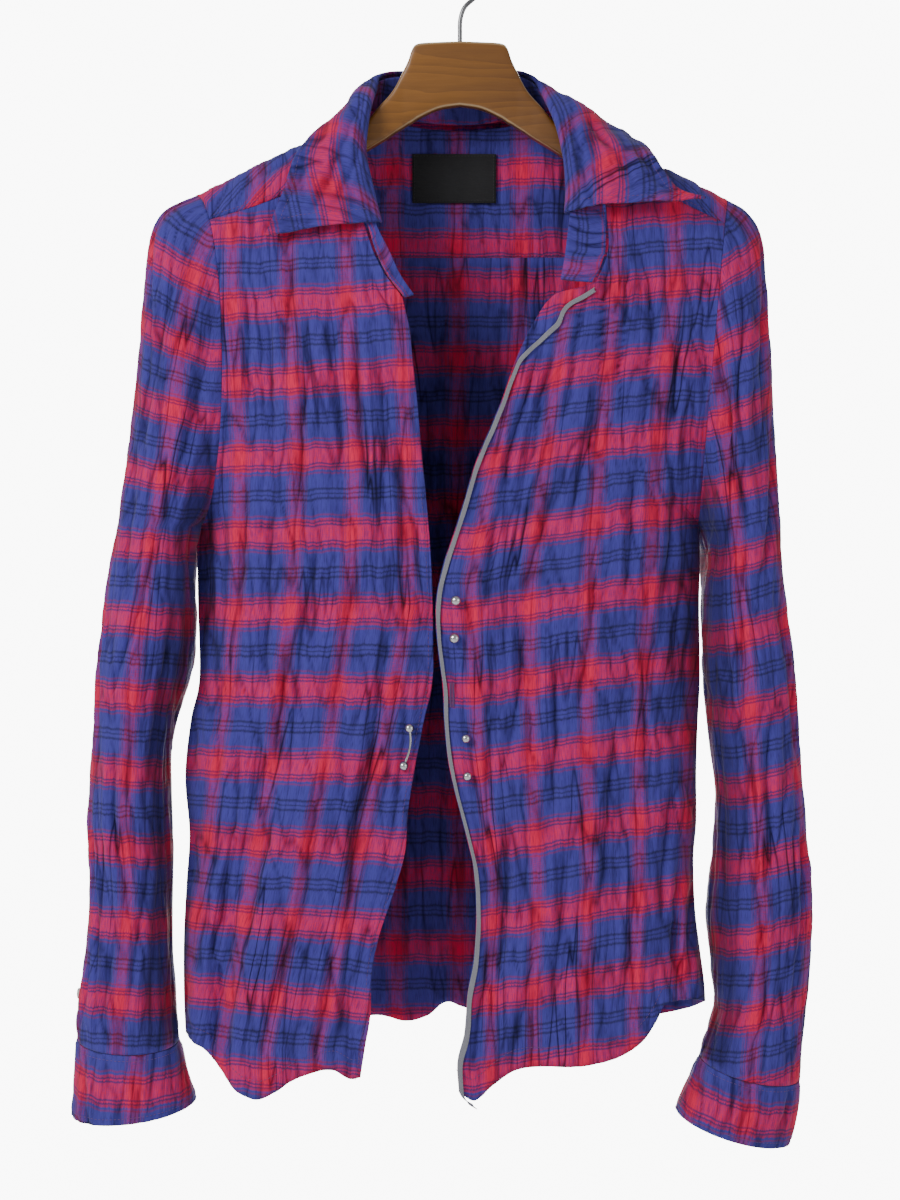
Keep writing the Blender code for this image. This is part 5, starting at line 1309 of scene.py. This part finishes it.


# ---------------------------------------------------------------- hanger
# The hanger is a thick shaped arm of stained and varnished wood, in two halves glued at the middle, with a flat top
# under the hook and a bevel round its edges, with a painted highlight along it; painted shade darkens the wood
# towards its +X end. Its hook is a dark plated wire screwed down into the top.

# Half of the wooden body, from its middle out: reach along X, top, foot, thickness.
Wood = namedtuple("Wood", "reach top foot thick")
WOOD = [
    Wood(0, -71.5, -117, 14), Wood(15, -72, -119.5, 14), Wood(29, -73, -126, 14), Wood(33.5, -76.5, -129, 14),
    Wood(36.5, -85, -130.5, 14), Wood(40.5, -93.5, -133, 14), Wood(45.5, -103.5, -136, 14.5),
    Wood(50.5, -110.5, -139.5, 15), Wood(57, -117.5, -143.5, 16), Wood(66, -127.5, -149, 17),
    Wood(80, -139, -158.5, 18), Wood(100, -150, -170, 20), Wood(125, -161, -184, 23),
    Wood(150, -172, -196, 25), Wood(168, -181, -204, 24), Wood(177, -187, -203, 20), Wood(181, -191, -199, 12),
]

WOOD_SIDES, WOOD_ALONG = 72, 110


def stained_wood():
    wood = Finish("stained_wood", {"Coat Weight": 0.35, "Coat Roughness": 0.3, "Specular IOR Level": 0.5})
    where = wood.node("ShaderNodeTexCoord", output=3)
    slow = wood.noise(wood.mapped(where, (1.5, 6, 6)), 6, detail=3)
    figure = wood.node("ShaderNodeTexWave", {"bands_direction": "Z", "wave_profile": "SAW"}, {
        "Vector": wood.mapped(where, (0.12, 1, 1)), "Scale": 45, "Distortion": 12, "Detail": 3, "Detail Scale": 1.4})
    pores = wood.noise(wood.mapped(where, (60, 900, 1400)), 1, detail=3, roughness=0.6)
    x = wood.node("ShaderNodeSeparateXYZ", (), {0: where}, output=0)
    side = x * 4 + 0.5
    grain = wood.node("ShaderNodeValToRGB", {"stops": [
        (0.0, (0.11, 0.036, 0.003)), (0.35, (0.22, 0.082, 0.006)), (0.7, (0.32, 0.125, 0.010)),
        (1.0, (0.42, 0.180, 0.018))]}, {0: figure * 0.3 + slow * 0.4 + pores * 0.3})
    # Painted shade: the wood is darkened more and more from x = -125 mm to x = +125 mm, away from the window light.
    colour = wood.mix(side, grain, (0.45, 0.40, 0.42), "MULTIPLY")
    # Painted highlight: a paler band along the bevel, where its edges catch the light.
    wear_and_highlight = wood.node("ShaderNodeAttribute", {"attribute_name": "edge"}, output=2)
    colour = wood.mix(wear_and_highlight * 0.8, colour, (0.50, 0.36, 0.20))
    return wood.feed(Base_Color=colour, Roughness=0.34 + pores * 0.18,
                     Normal=wood.bump(pores, 0.00015, 0.5))


def wood_section(reach, top, foot, thick, square):
    turns = np.linspace(0, 2 * math.pi, WOOD_SIDES, endpoint=False) + math.pi / WOOD_SIDES
    cos, sin = np.cos(turns), np.sin(turns)
    y = np.sign(cos) * np.abs(cos) ** (2 / square) * thick / 2
    z = (top + foot) / 2 + np.sign(sin) * np.abs(sin) ** (2 / square) * (top - foot) / 2
    return np.stack([np.full(WOOD_SIDES, reach), y, z], axis=1)


half = smooth(WOOD, np.linspace(0, len(WOOD) - 1, WOOD_ALONG))
sections = np.vstack([half[:0:-1] * (-1, 1, 1, 1), half])
squares = np.interp(np.abs(sections[:, 0]), [55, 75], [6, 3])
points = np.vstack([wood_section(*row, square) for row, square in zip(sections, squares)])
faces = [tuple(range(WOOD_SIDES)), tuple(range(len(points) - 1, len(points) - 1 - WOOD_SIDES, -1))]
for ring in range(len(sections) - 1):
    for k in range(WOOD_SIDES):
        a, b = ring * WOOD_SIDES + k, ring * WOOD_SIDES + (k + 1) % WOOD_SIDES
        faces.append((b, a, a + WOOD_SIDES, b + WOOD_SIDES))
mesh = bpy.data.meshes.new("hanger_wood")
mesh.from_pydata(points * MM, [], faces)
mesh.shade_smooth()
mesh.set_sharp_from_angle(angle=math.radians(50))
# A thin band on each face where it turns into the bevel, painted paler by the wood finish as a painted highlight.
rise = np.abs(points[:, 2] - np.repeat((sections[:, 1] + sections[:, 2]) / 2, WOOD_SIDES))
rise /= np.repeat((sections[:, 1] - sections[:, 2]) / 2, WOOD_SIDES)
on_face = np.abs(points[:, 1]) > 0.6 * np.repeat(sections[:, 3], WOOD_SIDES) / 2
edge = np.exp(-(((rise - 0.955) / 0.025) ** 2)) * on_face
mesh.attributes.new("edge", "FLOAT", "POINT").data.foreach_set("value", edge.astype(np.float32))
mesh.materials.append(stained_wood())
hanger = bpy.data.objects.new("hanger_wood", mesh)
bpy.context.scene.collection.objects.link(hanger)
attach(hanger, "root")
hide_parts("hanger_body")

PLATED = plain("dark_plated_wire", (0.16, 0.16, 0.17), (0.30, 0.30, 0.31), 0.3, scale=700, depth=0.00003,
               constants={"Metallic": 1.0})
WIRE = 1.65
HOOK_INSIDE = 21        # radius inside the hook's bend
HOOK_RADIUS = HOOK_INSIDE + WIRE
HOLE_FOOT = -84
bend = np.radians(np.linspace(-38, 200, 90))
arc = [(HOOK_RADIUS * math.cos(a), 0, -HOOK_INSIDE + HOOK_RADIUS * math.sin(a)) for a in bend]
stem = smooth([(0, 0, HOLE_FOOT + SEAM_GAP), (0, 0, -66), (0.3, 0, -56), (3, 0, -47.5), (9, 0, -41.5), arc[0]],
              np.linspace(0, 5, 40))
hook = wire("hook_wire", list(stem[:-1]) + arc, WIRE, PLATED)
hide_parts("hanger_hook")


# ---------------------------------------------------------------- floor, light and camera
# The shirt hangs in an evenly lit white studio, before a lit paper backdrop: a broad soft light comes from the upper
# left and a weaker one from the right.

bpy.ops.mesh.primitive_plane_add(size=4.0, location=(0, -0.9, -1.25))
floor = bpy.context.object
floor.name = "studio_floor"
floor.data.materials.append(plain("floor_paper", (0.80, 0.80, 0.80), (0.78, 0.78, 0.78), 0.8, scale=30))
bpy.ops.mesh.primitive_plane_add(size=1.0, location=(0, 3.2, -0.45), rotation=(math.pi / 2, 0, 0))
backdrop = bpy.context.object
backdrop.name = "lit_backdrop"
backdrop.scale = (2.6, 3.2, 1)
white = bpy.data.materials.new("lit_paper")
white.use_nodes = True
paper = white.node_tree.nodes["Principled BSDF"].inputs
paper["Emission Color"].default_value, paper["Emission Strength"].default_value = (1, 1, 1, 1), 9
backdrop.data.materials.append(white)

world = bpy.data.worlds.new("studio")
world.use_nodes = True
sky = world.node_tree.nodes["Background"].inputs
sky["Color"].default_value, sky["Strength"].default_value = (1, 1, 1, 1), 0.39
bpy.context.scene.world = world


def soft_light(name, place, aim, size, power):
    light = bpy.data.lights.new(name, "AREA")
    light.shape, light.size, light.energy = "DISK", size, power
    lamp = bpy.data.objects.new(name, light)
    lamp.location = place
    direction = np.array(aim) - np.array(place)
    lamp.rotation_euler = (math.atan2(math.hypot(direction[0], direction[1]), -direction[2]), 0,
                           math.atan2(-direction[0], direction[1]))
    bpy.context.scene.collection.objects.link(lamp)


soft_light("window", (-1.5, -1.6, 0.6), (0, 0, -0.45), 1.1, 40)
soft_light("fill", (1.9, -1.5, -0.2), (0, 0, -0.45), 1.6, 9)

EYE_LEVEL, DISTANCE, VIEW_HEIGHT = -0.4656, 2.2, 0.84
camera = bpy.data.cameras.new("camera")
camera.sensor_width = 36
camera.lens = camera.sensor_width * DISTANCE / VIEW_HEIGHT
eye = bpy.data.objects.new("camera", camera)
eye.location = (-0.007, -DISTANCE - 0.02, EYE_LEVEL)
eye.rotation_euler = (math.pi / 2, 0, 0)
bpy.context.scene.collection.objects.link(eye)
bpy.context.scene.camera = eye

bpy.context.view_layer.update()
